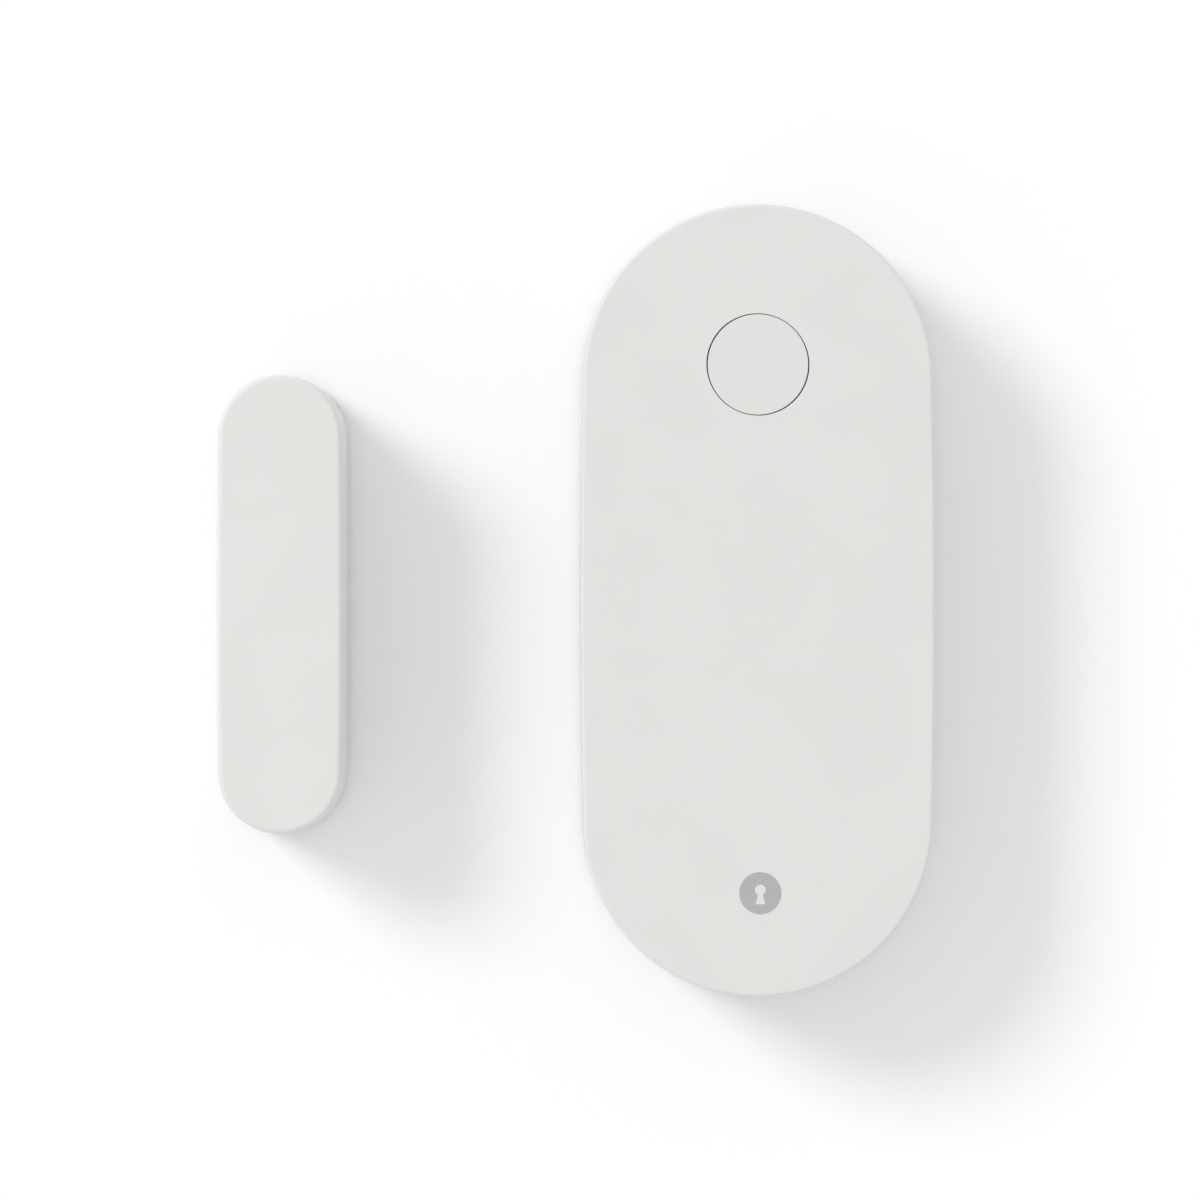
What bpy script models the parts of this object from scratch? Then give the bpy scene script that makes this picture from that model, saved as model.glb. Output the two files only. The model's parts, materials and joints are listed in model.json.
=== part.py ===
"""Door contact sensor: a battery-powered reed-switch sensor and the magnet unit it watches.

Frame: +Z comes out of the faces, +Y runs along the length towards the button
end, +X points away from the magnet unit. The origin is the middle of the
sensor's mounting face, the underside of its adhesive pad, and z = 0 is the
surface that both units are stuck to.
"""

import math

import bmesh
import bpy
from mathutils import Matrix, Vector

MM = 0.001

# --- Driving dimensions -----------------------------------------------------

# Outer shape of the sensor, measured at the parting plane.
SENSOR_LENGTH = 70.0 * MM
SENSOR_WIDTH = 31.40 * MM  # across the middle, where the sides bow out
SENSOR_END_RADIUS = 15.47 * MM
HEIGHT = 15.0 * MM  # both units, adhesive pad included

# Outer shape of the magnet unit, measured the same way.
MAGNET_UNIT_LENGTH = 40.6 * MM
MAGNET_UNIT_WIDTH = 11.3 * MM
MAGNET_UNIT_END_RADIUS = 5.55 * MM
MAGNET_UNIT_X = -42.1 * MM
MAGNET_UNIT_Y = -0.35 * MM

# Shells.
PAD = 0.5 * MM  # adhesive pad thickness
SENSOR_PAD_INSET = 1.0 * MM  # how far the pads stop short of the shells
MAGNET_PAD_INSET = 0.8 * MM
CONTACT = 0.05 * MM  # clearance between pieces that rest on each other
PARTING_LOW = 3.6 * MM  # top of the rear cover's outer wall
PARTING_HIGH = 3.9 * MM  # bottom of the front cover's wall
DRAFT = 0.12 * MM  # how far the walls lean in by the top
FACE_FILLET = 0.32 * MM
FOOT_CHAMFER = 0.2 * MM
WALL = 1.4 * MM
FACE_THICKNESS = 1.6 * MM
LIP_GAP = 0.3 * MM
LIP = 1.0 * MM
LIP_TOP = 6.2 * MM
FLOOR_TOP = 2.25 * MM

# Button.
BUTTON_Y = 20.76 * MM
BUTTON_RADIUS = 4.36 * MM
BUTTON_HOLE_RADIUS = 4.55 * MM
BUTTON_TRAVEL = 0.3 * MM

# Circuit board.
BOARD_BOTTOM = 5.05 * MM
BOARD_TOP = 6.05 * MM
BOARD_INSET = 3.0 * MM
SCREW_Y = 28.2 * MM

# Reed switch, along the edge nearest the magnet.
REED_X = -11.5 * MM
REED_Y = -0.35 * MM
REED_Z = 7.45 * MM
REED_GLASS_LENGTH = 12.0 * MM
REED_GLASS_RADIUS = 1.0 * MM
REED_PITCH = 18.4 * MM  # between the two holes its leads drop into
REED_CONTACT_GAP = 0.12 * MM

# Coin cell, 20 mm across and 3.2 mm thick, and its holder.
CELL_X = 1.2 * MM
CELL_Y = -9.6 * MM
CELL_RADIUS = 10.0 * MM
CELL_THICKNESS = 3.2 * MM
CELL_BOTTOM = 7.75 * MM

# Bar magnet.
BAR_WIDTH = 5.4 * MM
BAR_LENGTH = 30.0 * MM
BAR_HEIGHT = 5.0 * MM

# Steps round each end of a stadium outline, and along each bowed side.
END_STEPS = 22
SIDE_STEPS = 4

# --- Scene and helpers --------------------------------------------------------

for old in list(bpy.data.objects):
    bpy.data.objects.remove(old, do_unlink=True)

PARTS = bpy.data.collections.new("door_contact_sensor")
CUTTERS = bpy.data.collections.new("cutters")
bpy.context.scene.collection.children.link(PARTS)
bpy.context.scene.collection.children.link(CUTTERS)


def finish(name, rgb, roughness, metallic=0.0, transmission=0.0):
    material = bpy.data.materials.new(name)
    material.use_nodes = True
    shader = material.node_tree.nodes["Principled BSDF"]
    shader.inputs["Base Color"].default_value = (*rgb, 1.0)
    shader.inputs["Roughness"].default_value = roughness
    shader.inputs["Metallic"].default_value = metallic
    shader.inputs["Transmission Weight"].default_value = transmission
    material.diffuse_color = (*rgb, 1.0)
    return material


WHITE_SHELL = finish("white_shell_plastic", (0.715, 0.715, 0.698), 0.55)
WHITE_REAR = finish("white_rear_plastic", (0.704, 0.704, 0.688), 0.6)
WHITE_BUTTON = finish("white_button_plastic", (0.709, 0.709, 0.692), 0.5)
PAD_FOAM = finish("white_foam_tape", (0.60, 0.60, 0.58), 0.9)
BOARD_GREEN = finish("board_green", (0.02, 0.16, 0.07), 0.4)
RADIO_GREEN = finish("radio_board_green", (0.02, 0.10, 0.14), 0.4)
STEEL = finish("plated_steel", (0.62, 0.62, 0.60), 0.3, 1.0)
SCREW_STEEL = finish("screw_steel", (0.45, 0.45, 0.46), 0.35, 1.0)
CELL_STEEL = finish("cell_steel", (0.70, 0.70, 0.68), 0.25, 1.0)
BLACK_PLASTIC = finish("black_plastic", (0.02, 0.02, 0.022), 0.45)
IVORY_PLASTIC = finish("ivory_plastic", (0.70, 0.66, 0.55), 0.5)
GLASS = finish("green_tint_glass", (0.75, 0.90, 0.80), 0.05, 0.0, 0.9)
FERRITE = finish("magnet_nickel", (0.50, 0.50, 0.52), 0.28, 1.0)
ALUMINIUM = finish("capacitor_aluminium", (0.72, 0.72, 0.74), 0.3, 1.0)
CERAMIC = finish("antenna_ceramic", (0.80, 0.80, 0.78), 0.5)
LED_LENS = finish("led_lens", (0.85, 0.83, 0.70), 0.2, 0.0, 0.4)


def add_object(name, data, material=None, location=(0, 0, 0), parent=None, helper=False):
    obj = bpy.data.objects.new(name, data)
    (CUTTERS if helper else PARTS).objects.link(obj)
    obj.location = location
    if parent is not None:
        obj.parent = parent
    if helper:
        obj.hide_render = True
        obj.display_type = "WIRE"
    elif material is not None:
        data.materials.append(material)
    return obj


def mesh_object(name, bm, material=None, **placing):
    bmesh.ops.recalc_face_normals(bm, faces=bm.faces[:])
    mesh = bpy.data.meshes.new(name)
    bm.to_mesh(mesh)
    bm.free()
    return add_object(name, mesh, material, **placing)


def smooth(obj, degrees=35):
    obj.data.shade_smooth()
    obj.data.set_sharp_from_angle(angle=math.radians(degrees))
    return obj


def boolean(obj, tool, operation="DIFFERENCE"):
    modifier = obj.modifiers.new(f"{operation.lower()}_{tool.name}", "BOOLEAN")
    modifier.operation = operation
    modifier.solver = "EXACT"
    modifier.object = tool
    return obj


def stadium(width, length, end_radius):
    """A stadium whose long sides bow out, as points at any inset from its edge.

    Each side is one large arc that meets the round ends without a kink, so an
    inset only shortens the radii.
    """
    half, ends = width / 2, length / 2 - end_radius
    side_radius = (half**2 + ends**2 - end_radius**2) / (2 * (half - end_radius))
    meet = math.atan2(ends, side_radius - half)

    def at(inset):
        points = []
        for turn in (0, math.pi):
            for k in range(END_STEPS + 1):
                a = turn + meet + (math.pi - 2 * meet) * k / END_STEPS
                points.append(
                    (
                        (end_radius - inset) * math.cos(a),
                        (ends if turn == 0 else -ends)
                        + (end_radius - inset) * math.sin(a),
                    )
                )
            for k in range(1, SIDE_STEPS):
                a = turn + math.pi - meet + 2 * meet * k / SIDE_STEPS
                shift = side_radius - half if turn == 0 else half - side_radius
                points.append(
                    (
                        shift + (side_radius - inset) * math.cos(a),
                        (side_radius - inset) * math.sin(a),
                    )
                )
        return points

    return at


def swept(outline, profile):
    """Carries a profile of (inset, z) round an outline. The first and last rings are closed by a face."""
    bm = bmesh.new()
    first = outline(profile[0][0])
    verts = bmesh.ops.create_circle(
        bm, cap_ends=True, segments=len(first), radius=1.0
    )["verts"]
    for vert, (x, y) in zip(verts, first):
        vert.co = (x, y, profile[0][1])
    face = bm.faces[:][0]
    ring = list(verts)
    for step, (inset, z) in enumerate(profile[1:]):
        places = {tuple(v.co): i for i, v in enumerate(ring)}
        made = bmesh.ops.extrude_face_region(bm, geom=[face])["geom"]
        if step:
            bmesh.ops.delete(bm, geom=[face], context="FACES_ONLY")
        fresh = [v for v in made if isinstance(v, bmesh.types.BMVert)]
        fresh.sort(key=lambda v: places[tuple(v.co)])
        for vert, (x, y) in zip(fresh, outline(inset)):
            vert.co = (x, y, z)
        face = next(f for f in made if isinstance(f, bmesh.types.BMFace))
        ring = fresh
    return bm


def fillet(inset, top, radius, steps=3):
    """Points of a quarter round from the wall, at this inset, to the flat top."""
    return [
        (
            inset + radius * (1 - math.cos(math.pi / 2 * k / steps)),
            top - radius * (1 - math.sin(math.pi / 2 * k / steps)),
        )
        for k in range(steps + 1)
    ]


def turned(name, profile, material=None, steps=32, closed=False, **placing):
    """A turned piece: the profile is (radius, z) from the top down the outer side."""
    bm = bmesh.new()
    verts = [bm.verts.new((r, 0, z)) for r, z in profile]
    for a, b in zip(verts, verts[1:] + (verts[:1] if closed else [])):
        bm.edges.new((a, b))
    mesh = bpy.data.meshes.new(name)
    bm.to_mesh(mesh)
    bm.free()
    obj = add_object(name, mesh, material, **placing)
    screw = obj.modifiers.new("turn", "SCREW")
    screw.axis = "Z"
    screw.angle = 2 * math.pi
    screw.steps = screw.render_steps = steps
    screw.use_merge_vertices = True
    screw.merge_threshold = 1e-6
    screw.use_smooth_shade = True
    return obj


def cylinder(name, radius, low, high, x=0.0, y=0.0, steps=24, top_radius=None, **placing):
    bm = bmesh.new()
    bmesh.ops.create_cone(
        bm,
        cap_ends=True,
        segments=steps,
        radius1=radius,
        radius2=radius if top_radius is None else top_radius,
        depth=high - low,
        matrix=Matrix.Translation((x, y, (low + high) / 2)),
    )
    return mesh_object(name, bm, **placing)


def block(name, low, high, material=None, edge=0.0, edge_steps=1, upright_only=False, **placing):
    """A box between two corners, with its edges rounded by a Bevel."""
    low, high = Vector(low), Vector(high)
    bm = bmesh.new()
    bmesh.ops.create_cube(
        bm,
        size=1.0,
        matrix=Matrix.Translation((low + high) / 2)
        @ Matrix.Diagonal((*(high - low), 1.0)),
    )
    if edge:
        edges = [
            e
            for e in bm.edges
            if not upright_only
            or abs(e.verts[0].co.z - e.verts[1].co.z) > 0.5 * (high - low).z
        ]
        bmesh.ops.bevel(
            bm,
            geom=edges,
            offset=edge,
            offset_type="OFFSET",
            segments=edge_steps,
            profile=0.5,
            affect="EDGES",
        )
    return mesh_object(name, bm, material, **placing)


def strip(name, path, width, thickness, material, x=0.0):
    """Sheet metal: a path of (y, z) carried across its width, then thickened downwards."""
    bm = bmesh.new()
    verts = [bm.verts.new((x - width / 2, y, z)) for y, z in path]
    edges = [bm.edges.new(pair) for pair in zip(verts, verts[1:])]
    made = bmesh.ops.extrude_edge_only(bm, edges=edges)["geom"]
    for item in made:
        if isinstance(item, bmesh.types.BMVert):
            item.co.x += width
    bmesh.ops.recalc_face_normals(bm, faces=bm.faces[:])
    mesh = bpy.data.meshes.new(name)
    bm.to_mesh(mesh)
    bm.free()
    obj = add_object(name, mesh, material)
    solid = obj.modifiers.new("thickness", "SOLIDIFY")
    solid.thickness = thickness
    solid.offset = 0.0
    solid.use_even_offset = True
    return obj


def wire(name, points, radius, material):
    """A round wire through these points, closed at both ends, as a mesh."""
    curve = bpy.data.curves.new(name, "CURVE")
    curve.dimensions = "3D"
    curve.bevel_depth = radius
    curve.bevel_resolution = 2
    curve.use_fill_caps = True
    spline = curve.splines.new("POLY")
    spline.points.add(len(points) - 1)
    for point, co in zip(spline.points, points):
        point.co = (*co, 1.0)
    drawn = bpy.data.objects.new(name + "_curve", curve)
    CUTTERS.objects.link(drawn)
    graph = bpy.context.evaluated_depsgraph_get()
    mesh = bpy.data.meshes.new_from_object(drawn.evaluated_get(graph))
    bpy.data.objects.remove(drawn, do_unlink=True)
    bm = bmesh.new()
    bm.from_mesh(mesh)
    bmesh.ops.remove_doubles(bm, verts=bm.verts[:], dist=1e-6)
    bpy.data.meshes.remove(mesh)
    obj = mesh_object(name, bm, material)
    return obj


SENSOR = stadium(SENSOR_WIDTH, SENSOR_LENGTH, SENSOR_END_RADIUS)
MAGNET_UNIT = stadium(MAGNET_UNIT_WIDTH, MAGNET_UNIT_LENGTH, MAGNET_UNIT_END_RADIUS)


def tray(wall, gap, lip, lip_top):
    """Profile of a shallow rear tray: chamfered foot, outer wall, step, and an inner lip that the cover slips over."""
    return [
        (FOOT_CHAMFER, PAD + CONTACT),
        (0.0, PAD + CONTACT + FOOT_CHAMFER),
        (0.0, PARTING_LOW),
        (wall + gap, PARTING_LOW),
        (wall + gap, lip_top - 0.3 * MM),
        (wall + gap + 0.3 * MM, lip_top),
        (wall + gap + lip, lip_top),
        (wall + gap + lip, FLOOR_TOP),
    ]


def cap(wall, face):
    """Profile of a front cover: ceiling, inner wall, rim, drafted outer wall, fillet and face."""
    return [
        (wall + DRAFT, HEIGHT - face),
        (wall, PARTING_HIGH + 0.3 * MM),
        (wall - 0.25 * MM, PARTING_HIGH),
        (0.1 * MM, PARTING_HIGH),
        (0.0, PARTING_HIGH + 0.1 * MM),
        *fillet(DRAFT, HEIGHT, FACE_FILLET),
    ]


# --- Sensor: pad and rear cover -------------------------------------------------

sensor_adhesive_pad = smooth(
    mesh_object(
        "sensor_adhesive_pad",
        swept(SENSOR, [(SENSOR_PAD_INSET, 0.0), (SENSOR_PAD_INSET, PAD)]),
        PAD_FOAM,
    )
)

rear_cover = smooth(
    mesh_object("rear_cover", swept(SENSOR, tray(WALL, LIP_GAP, LIP, LIP_TOP)), WHITE_REAR)
)
for end, sign in (("top", 1), ("bottom", -1)):
    boolean(
        rear_cover,
        cylinder(
            f"boss_{end}", 2.7 * MM, FLOOR_TOP - 0.6 * MM, BOARD_BOTTOM - CONTACT,
            y=sign * SCREW_Y, top_radius=2.4 * MM, helper=True,
        ),
        "UNION",
    )
    boolean(
        rear_cover,
        cylinder(
            f"boss_bore_{end}", 0.98 * MM, FLOOR_TOP + 0.2 * MM, LIP_TOP + 1 * MM,
            y=sign * SCREW_Y, steps=16, helper=True,
        ),
    )
# Two rests under the middle of the board, which carry the cell's weight.
for side, sign in (("left", -1), ("right", 1)):
    boolean(
        rear_cover,
        block(
            f"board_rest_{side}",
            (sign * 10.6 * MM - 0.6 * MM, -4.0 * MM, FLOOR_TOP - 0.6 * MM),
            (sign * 10.6 * MM + 0.6 * MM, 4.0 * MM, BOARD_BOTTOM - CONTACT),
            helper=True,
        ),
        "UNION",
    )
# Snap beads on the outside of the lip, which hold the front cover.
for k, (side, y) in enumerate(((-1, -14), (-1, 14), (1, -14), (1, 14))):
    x = side * (SENSOR_WIDTH / 2 - WALL - LIP_GAP - 0.34 * MM)
    boolean(
        rear_cover,
        block(
            f"snap_bead_{k}",
            (x - 0.35 * MM, (y - 2.5) * MM, 5.0 * MM),
            (x + 0.35 * MM, (y + 2.5) * MM, 5.5 * MM),
            edge=0.12 * MM,
            helper=True,
        ),
        "UNION",
    )

# --- Sensor: circuit board and screws ----------------------------------------------

circuit_board = mesh_object(
    "circuit_board",
    swept(SENSOR, [(BOARD_INSET, BOARD_BOTTOM), (BOARD_INSET, BOARD_TOP)]),
    BOARD_GREEN,
)
for name, x, y, r in (
    ("screw_hole_top", 0, SCREW_Y, 1.25 * MM),
    ("screw_hole_bottom", 0, -SCREW_Y, 1.25 * MM),
    ("lead_hole_low", REED_X, REED_Y - REED_PITCH / 2, 0.42 * MM),
    ("lead_hole_high", REED_X, REED_Y + REED_PITCH / 2, 0.42 * MM),
):
    boolean(
        circuit_board,
        cylinder(name, r, 4.0 * MM, 7.0 * MM, x=x, y=y, steps=16, helper=True),
    )
smooth(circuit_board)

for end, sign in (("top", 1), ("bottom", -1)):
    screw = turned(
        f"board_screw_{end}",
        [
            (0, 1.45 * MM), (1.1 * MM, 1.35 * MM), (1.75 * MM, 0.95 * MM),
            (1.95 * MM, 0.45 * MM), (1.95 * MM, 0), (0.86 * MM, 0),
            (0.86 * MM, -2.7 * MM), (0.3 * MM, -3.2 * MM), (0, -3.2 * MM),
        ],
        SCREW_STEEL,
        steps=20,
        location=(0, sign * SCREW_Y, BOARD_TOP + CONTACT),
    )
    for k, (w, d) in enumerate(((2.2, 0.5), (0.5, 2.2))):
        boolean(
            screw,
            block(
                f"drive_{end}_{k}",
                (-w / 2 * MM, sign * SCREW_Y - d / 2 * MM, BOARD_TOP + 0.75 * MM),
                (w / 2 * MM, sign * SCREW_Y + d / 2 * MM, BOARD_TOP + 2.5 * MM),
                helper=True,
            ),
        )

# --- Sensor: reed switch ---------------------------------------------------------

half_glass = REED_GLASS_LENGTH / 2
seal = 0.9 * MM
reed_glass = turned(
    "reed_glass",
    [
        (0.34 * MM, half_glass), (0.7 * MM, half_glass - 0.05 * MM),
        (REED_GLASS_RADIUS, half_glass - 0.5 * MM),
        (REED_GLASS_RADIUS, 0.5 * MM - half_glass),
        (0.7 * MM, 0.05 * MM - half_glass), (0.34 * MM, -half_glass),
        (0.34 * MM, seal - half_glass), (0.74 * MM, seal + 0.3 * MM - half_glass),
        (0.74 * MM, half_glass - seal - 0.3 * MM), (0.34 * MM, half_glass - seal),
    ],
    GLASS,
    steps=20,
    closed=True,
    location=(REED_X, REED_Y, REED_Z),
)
reed_glass.rotation_euler = (-math.pi / 2, 0, 0)

blade_offset = (REED_CONTACT_GAP + 0.2 * MM) / 2


def lead_path(sign, inner):
    """A lead from inside the glass, out through its seal and down into the board."""
    out = REED_PITCH / 2
    bend = 0.7 * MM
    points = [(REED_X, REED_Y + sign * inner, REED_Z)]
    points.append((REED_X, REED_Y + sign * (out - bend), REED_Z))
    for k in range(1, 5):
        a = math.pi / 2 * k / 4
        points.append(
            (
                REED_X,
                REED_Y + sign * (out - bend + bend * math.sin(a)),
                REED_Z - bend + bend * math.cos(a),
            )
        )
    points.append((REED_X, REED_Y + sign * out, BOARD_BOTTOM - 0.6 * MM))
    return points


reed_lead_fixed = wire("reed_lead_fixed", lead_path(-1, 4.7 * MM), 0.25 * MM, STEEL)
boolean(
    reed_lead_fixed,
    block(
        "fixed_blade",
        (REED_X - 0.5 * MM, REED_Y - 4.95 * MM, REED_Z - blade_offset - 0.1 * MM),
        (REED_X + 0.5 * MM, REED_Y + 0.6 * MM, REED_Z - blade_offset + 0.1 * MM),
        helper=True,
    ),
    "UNION",
)
reed_lead_sprung = wire("reed_lead_sprung", lead_path(1, 5.0 * MM), 0.25 * MM, STEEL)

# The sprung blade turns about the inner end of its seal; the empty is its joint's axis.
reed_hinge = bpy.data.objects.new("reed_hinge_axis", None)
PARTS.objects.link(reed_hinge)
reed_hinge.location = (REED_X, REED_Y + 4.9 * MM, REED_Z + blade_offset)
reed_blade = block(
    "reed_blade",
    (-0.5 * MM, -5.5 * MM, -0.1 * MM),
    (0.5 * MM, 0.0, 0.1 * MM),
    STEEL,
    edge=0.04 * MM,
    parent=reed_hinge,
)

# --- Sensor: tact switch under the button ----------------------------------------------

switch_low = BOARD_TOP + CONTACT
switch_body = block(
    "switch_body",
    (-3.1 * MM, BUTTON_Y - 3.1 * MM, switch_low),
    (3.1 * MM, BUTTON_Y + 3.1 * MM, 9.3 * MM),
    BLACK_PLASTIC,
    edge=0.25 * MM,
    upright_only=True,
)
boolean(
    switch_body,
    cylinder("switch_well", 2.45 * MM, 7.55 * MM, 10.5 * MM, y=BUTTON_Y, helper=True),
)
for k, (sx, sy) in enumerate(((-1, -1), (-1, 1), (1, -1), (1, 1))):
    # Each leg is part of the body's lead frame and lies flat on its pad.
    boolean(
        switch_body,
        block(
            f"switch_leg_{k}",
            (
                min(sx * 2.6, sx * 4.3) * MM,
                BUTTON_Y + (sy * 2.25 - 0.35) * MM,
                switch_low,
            ),
            (
                max(sx * 2.6, sx * 4.3) * MM,
                BUTTON_Y + (sy * 2.25 + 0.35) * MM,
                switch_low + 0.3 * MM,
            ),
            helper=True,
        ),
        "UNION",
    )
switch_dome = turned(
    "switch_dome",
    [
        (0, 0.32 * MM), (1.1 * MM, 0.26 * MM), (2.0 * MM, 0.08 * MM),
        (2.3 * MM, 0.08 * MM), (2.3 * MM, 0), (1.9 * MM, 0),
        (1.0 * MM, 0.18 * MM), (0, 0.24 * MM),
    ],
    STEEL,
    steps=24,
    location=(0, BUTTON_Y, 7.6 * MM),
)
switch_frame = block(
    "switch_frame",
    (-3.0 * MM, BUTTON_Y - 3.0 * MM, 9.35 * MM),
    (3.0 * MM, BUTTON_Y + 3.0 * MM, 9.6 * MM),
    STEEL,
    edge=0.3 * MM,
    upright_only=True,
)
boolean(
    switch_frame,
    cylinder("frame_hole", 1.9 * MM, 9.0 * MM, 10.0 * MM, y=BUTTON_Y, helper=True),
)
# The plunger's flange is caught under the frame, and its nub sits just above the dome.
switch_plunger = turned(
    "switch_plunger",
    [
        (0, 10.6 * MM), (1.55 * MM, 10.6 * MM), (1.7 * MM, 10.45 * MM),
        (1.7 * MM, 9.25 * MM), (2.25 * MM, 9.25 * MM), (2.25 * MM, 8.7 * MM),
        (0.7 * MM, 8.7 * MM), (0.6 * MM, 8.3 * MM), (0, 8.3 * MM),
    ],
    IVORY_PLASTIC,
    steps=24,
    location=(0, BUTTON_Y, 0),
)

# --- Sensor: coin cell, holder and contacts ------------------------------------------------

holder_low = BOARD_TOP + CONTACT
cell_holder = block(
    "cell_holder",
    (CELL_X - 11.2 * MM, CELL_Y - 11.8 * MM, holder_low),
    (CELL_X + 11.2 * MM, CELL_Y + 12.0 * MM, 10.4 * MM),
    BLACK_PLASTIC,
    edge=1.2 * MM,
    edge_steps=3,
    upright_only=True,
)
boolean(
    cell_holder,
    cylinder(
        "cell_well", CELL_RADIUS + 0.25 * MM, 7.1 * MM, 12 * MM,
        x=CELL_X, y=CELL_Y, steps=48, helper=True,
    ),
)
# The end that the cell is pushed out of is open, and the other has a slot for the clip.
boolean(
    cell_holder,
    block(
        "cell_way_out",
        (CELL_X - 7.5 * MM, CELL_Y - 13 * MM, 7.1 * MM),
        (CELL_X + 7.5 * MM, CELL_Y - 6 * MM, 12 * MM),
        helper=True,
    ),
)
boolean(
    cell_holder,
    block(
        "clip_slot",
        (CELL_X - 4.2 * MM, CELL_Y + 9 * MM, 9.0 * MM),
        (CELL_X + 4.2 * MM, CELL_Y + 13 * MM, 12 * MM),
        helper=True,
    ),
)
coin_cell = turned(
    "coin_cell",
    [
        (0, CELL_THICKNESS), (9.4 * MM, CELL_THICKNESS),
        (9.85 * MM, CELL_THICKNESS - 0.15 * MM), (CELL_RADIUS, CELL_THICKNESS - 0.45 * MM),
        (CELL_RADIUS, 0.55 * MM), (9.7 * MM, 0.3 * MM), (8.9 * MM, 0.3 * MM),
        (8.7 * MM, 0), (0, 0),
    ],
    CELL_STEEL,
    steps=48,
    location=(CELL_X, CELL_Y, CELL_BOTTOM),
)
clip_high = CELL_BOTTOM + CELL_THICKNESS + 0.3 * MM
clip_back = CELL_Y + 12.5 * MM
cell_positive_clip = strip(
    "cell_positive_clip",
    [
        (clip_back + 0.9 * MM, BOARD_TOP + 0.25 * MM),
        (clip_back, BOARD_TOP + 0.25 * MM),
        (clip_back, clip_high - 0.5 * MM),
        (clip_back - 0.5 * MM, clip_high),
        (CELL_Y + 2.0 * MM, clip_high),
        (CELL_Y - 1.5 * MM, clip_high - 0.05 * MM),
        (CELL_Y - 3.0 * MM, clip_high + 0.4 * MM),
    ],
    6.4 * MM,
    0.25 * MM,
    STEEL,
    x=CELL_X,
)
cell_negative_contact = strip(
    "cell_negative_contact",
    [
        (CELL_Y + 7.0 * MM, 7.26 * MM),
        (CELL_Y + 2.5 * MM, 7.26 * MM),
        (CELL_Y + 0.8 * MM, 7.52 * MM),
        (CELL_Y - 0.8 * MM, 7.52 * MM),
        (CELL_Y - 2.5 * MM, 7.26 * MM),
        (CELL_Y - 7.0 * MM, 7.26 * MM),
    ],
    4.0 * MM,
    0.2 * MM,
    STEEL,
    x=CELL_X,
)

# --- Sensor: radio module and small parts -----------------------------------------------------

radio_low = BOARD_TOP + CONTACT
radio_board = block(
    "radio_board",
    (-7.9 * MM, 4.9 * MM, radio_low),
    (9.1 * MM, 16.3 * MM, radio_low + 0.8 * MM),
    RADIO_GREEN,
    edge=0.3 * MM,
    upright_only=True,
)
chip_low = radio_low + 0.8 * MM + CONTACT
radio_chip = block(
    "radio_chip",
    (-0.4 * MM, 8.0 * MM, chip_low),
    (4.6 * MM, 13.0 * MM, chip_low + 0.85 * MM),
    BLACK_PLASTIC,
    edge=0.08 * MM,
)
# The shield is an open-bottomed can pressed from thin sheet.
shield_box = bmesh.new()
bmesh.ops.create_cube(
    shield_box,
    size=1.0,
    matrix=Matrix.Translation((2.4 * MM, 10.6 * MM, chip_low + 1.0 * MM))
    @ Matrix.Diagonal((12.0 * MM, 10.0 * MM, 2.0 * MM, 1.0)),
)
shield_floor = min(shield_box.faces, key=lambda f: f.calc_center_median().z)
bmesh.ops.delete(shield_box, geom=[shield_floor], context="FACES_ONLY")
mesh = bpy.data.meshes.new("radio_shield")
shield_box.to_mesh(mesh)
shield_box.free()
radio_shield = add_object("radio_shield", mesh, STEEL)
sheet = radio_shield.modifiers.new("sheet", "SOLIDIFY")
sheet.thickness = 0.2 * MM
sheet.offset = -1.0
sheet.use_even_offset = True
radio_antenna = block(
    "radio_antenna",
    (-7.1 * MM, 7.6 * MM, chip_low),
    (-5.1 * MM, 13.6 * MM, chip_low + 1.1 * MM),
    CERAMIC,
    edge=0.15 * MM,
)
status_led = block(
    "status_led",
    (6.2 * MM, BUTTON_Y - 0.65 * MM, BOARD_TOP + CONTACT),
    (8.2 * MM, BUTTON_Y + 0.65 * MM, BOARD_TOP + 1.0 * MM),
    LED_LENS,
    edge=0.15 * MM,
)
regulator_chip = block(
    "regulator_chip",
    (-7.6 * MM, -25.9 * MM, BOARD_TOP + 0.15 * MM),
    (-4.6 * MM, -24.3 * MM, BOARD_TOP + 1.2 * MM),
    BLACK_PLASTIC,
    edge=0.1 * MM,
)
for k, (x, s) in enumerate(((-7.1, -1), (-6.1, 1), (-5.1, -1))):
    edges_y = sorted((-25.1 + s * 0.6, -25.1 + s * 1.4))
    boolean(
        regulator_chip,
        block(
            f"regulator_leg_{k}",
            ((x - 0.2) * MM, edges_y[0] * MM, BOARD_TOP + CONTACT),
            ((x + 0.2) * MM, edges_y[1] * MM, BOARD_TOP + 0.45 * MM),
            helper=True,
        ),
        "UNION",
    )
bulk_capacitor = turned(
    "bulk_capacitor",
    [
        (0, 5.2 * MM), (1.8 * MM, 5.2 * MM), (2.0 * MM, 5.0 * MM),
        (2.0 * MM, 1.7 * MM), (1.85 * MM, 1.55 * MM), (1.85 * MM, 1.35 * MM),
        (2.0 * MM, 1.2 * MM), (2.0 * MM, 0), (0, 0),
    ],
    ALUMINIUM,
    steps=24,
    location=(6.2 * MM, -25.2 * MM, BOARD_TOP + CONTACT),
)

# --- Sensor: front cover and button --------------------------------------------------------------

front_cover = smooth(
    mesh_object("front_cover", swept(SENSOR, cap(WALL, FACE_THICKNESS)), WHITE_SHELL)
)
ceiling = HEIGHT - FACE_THICKNESS
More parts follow.
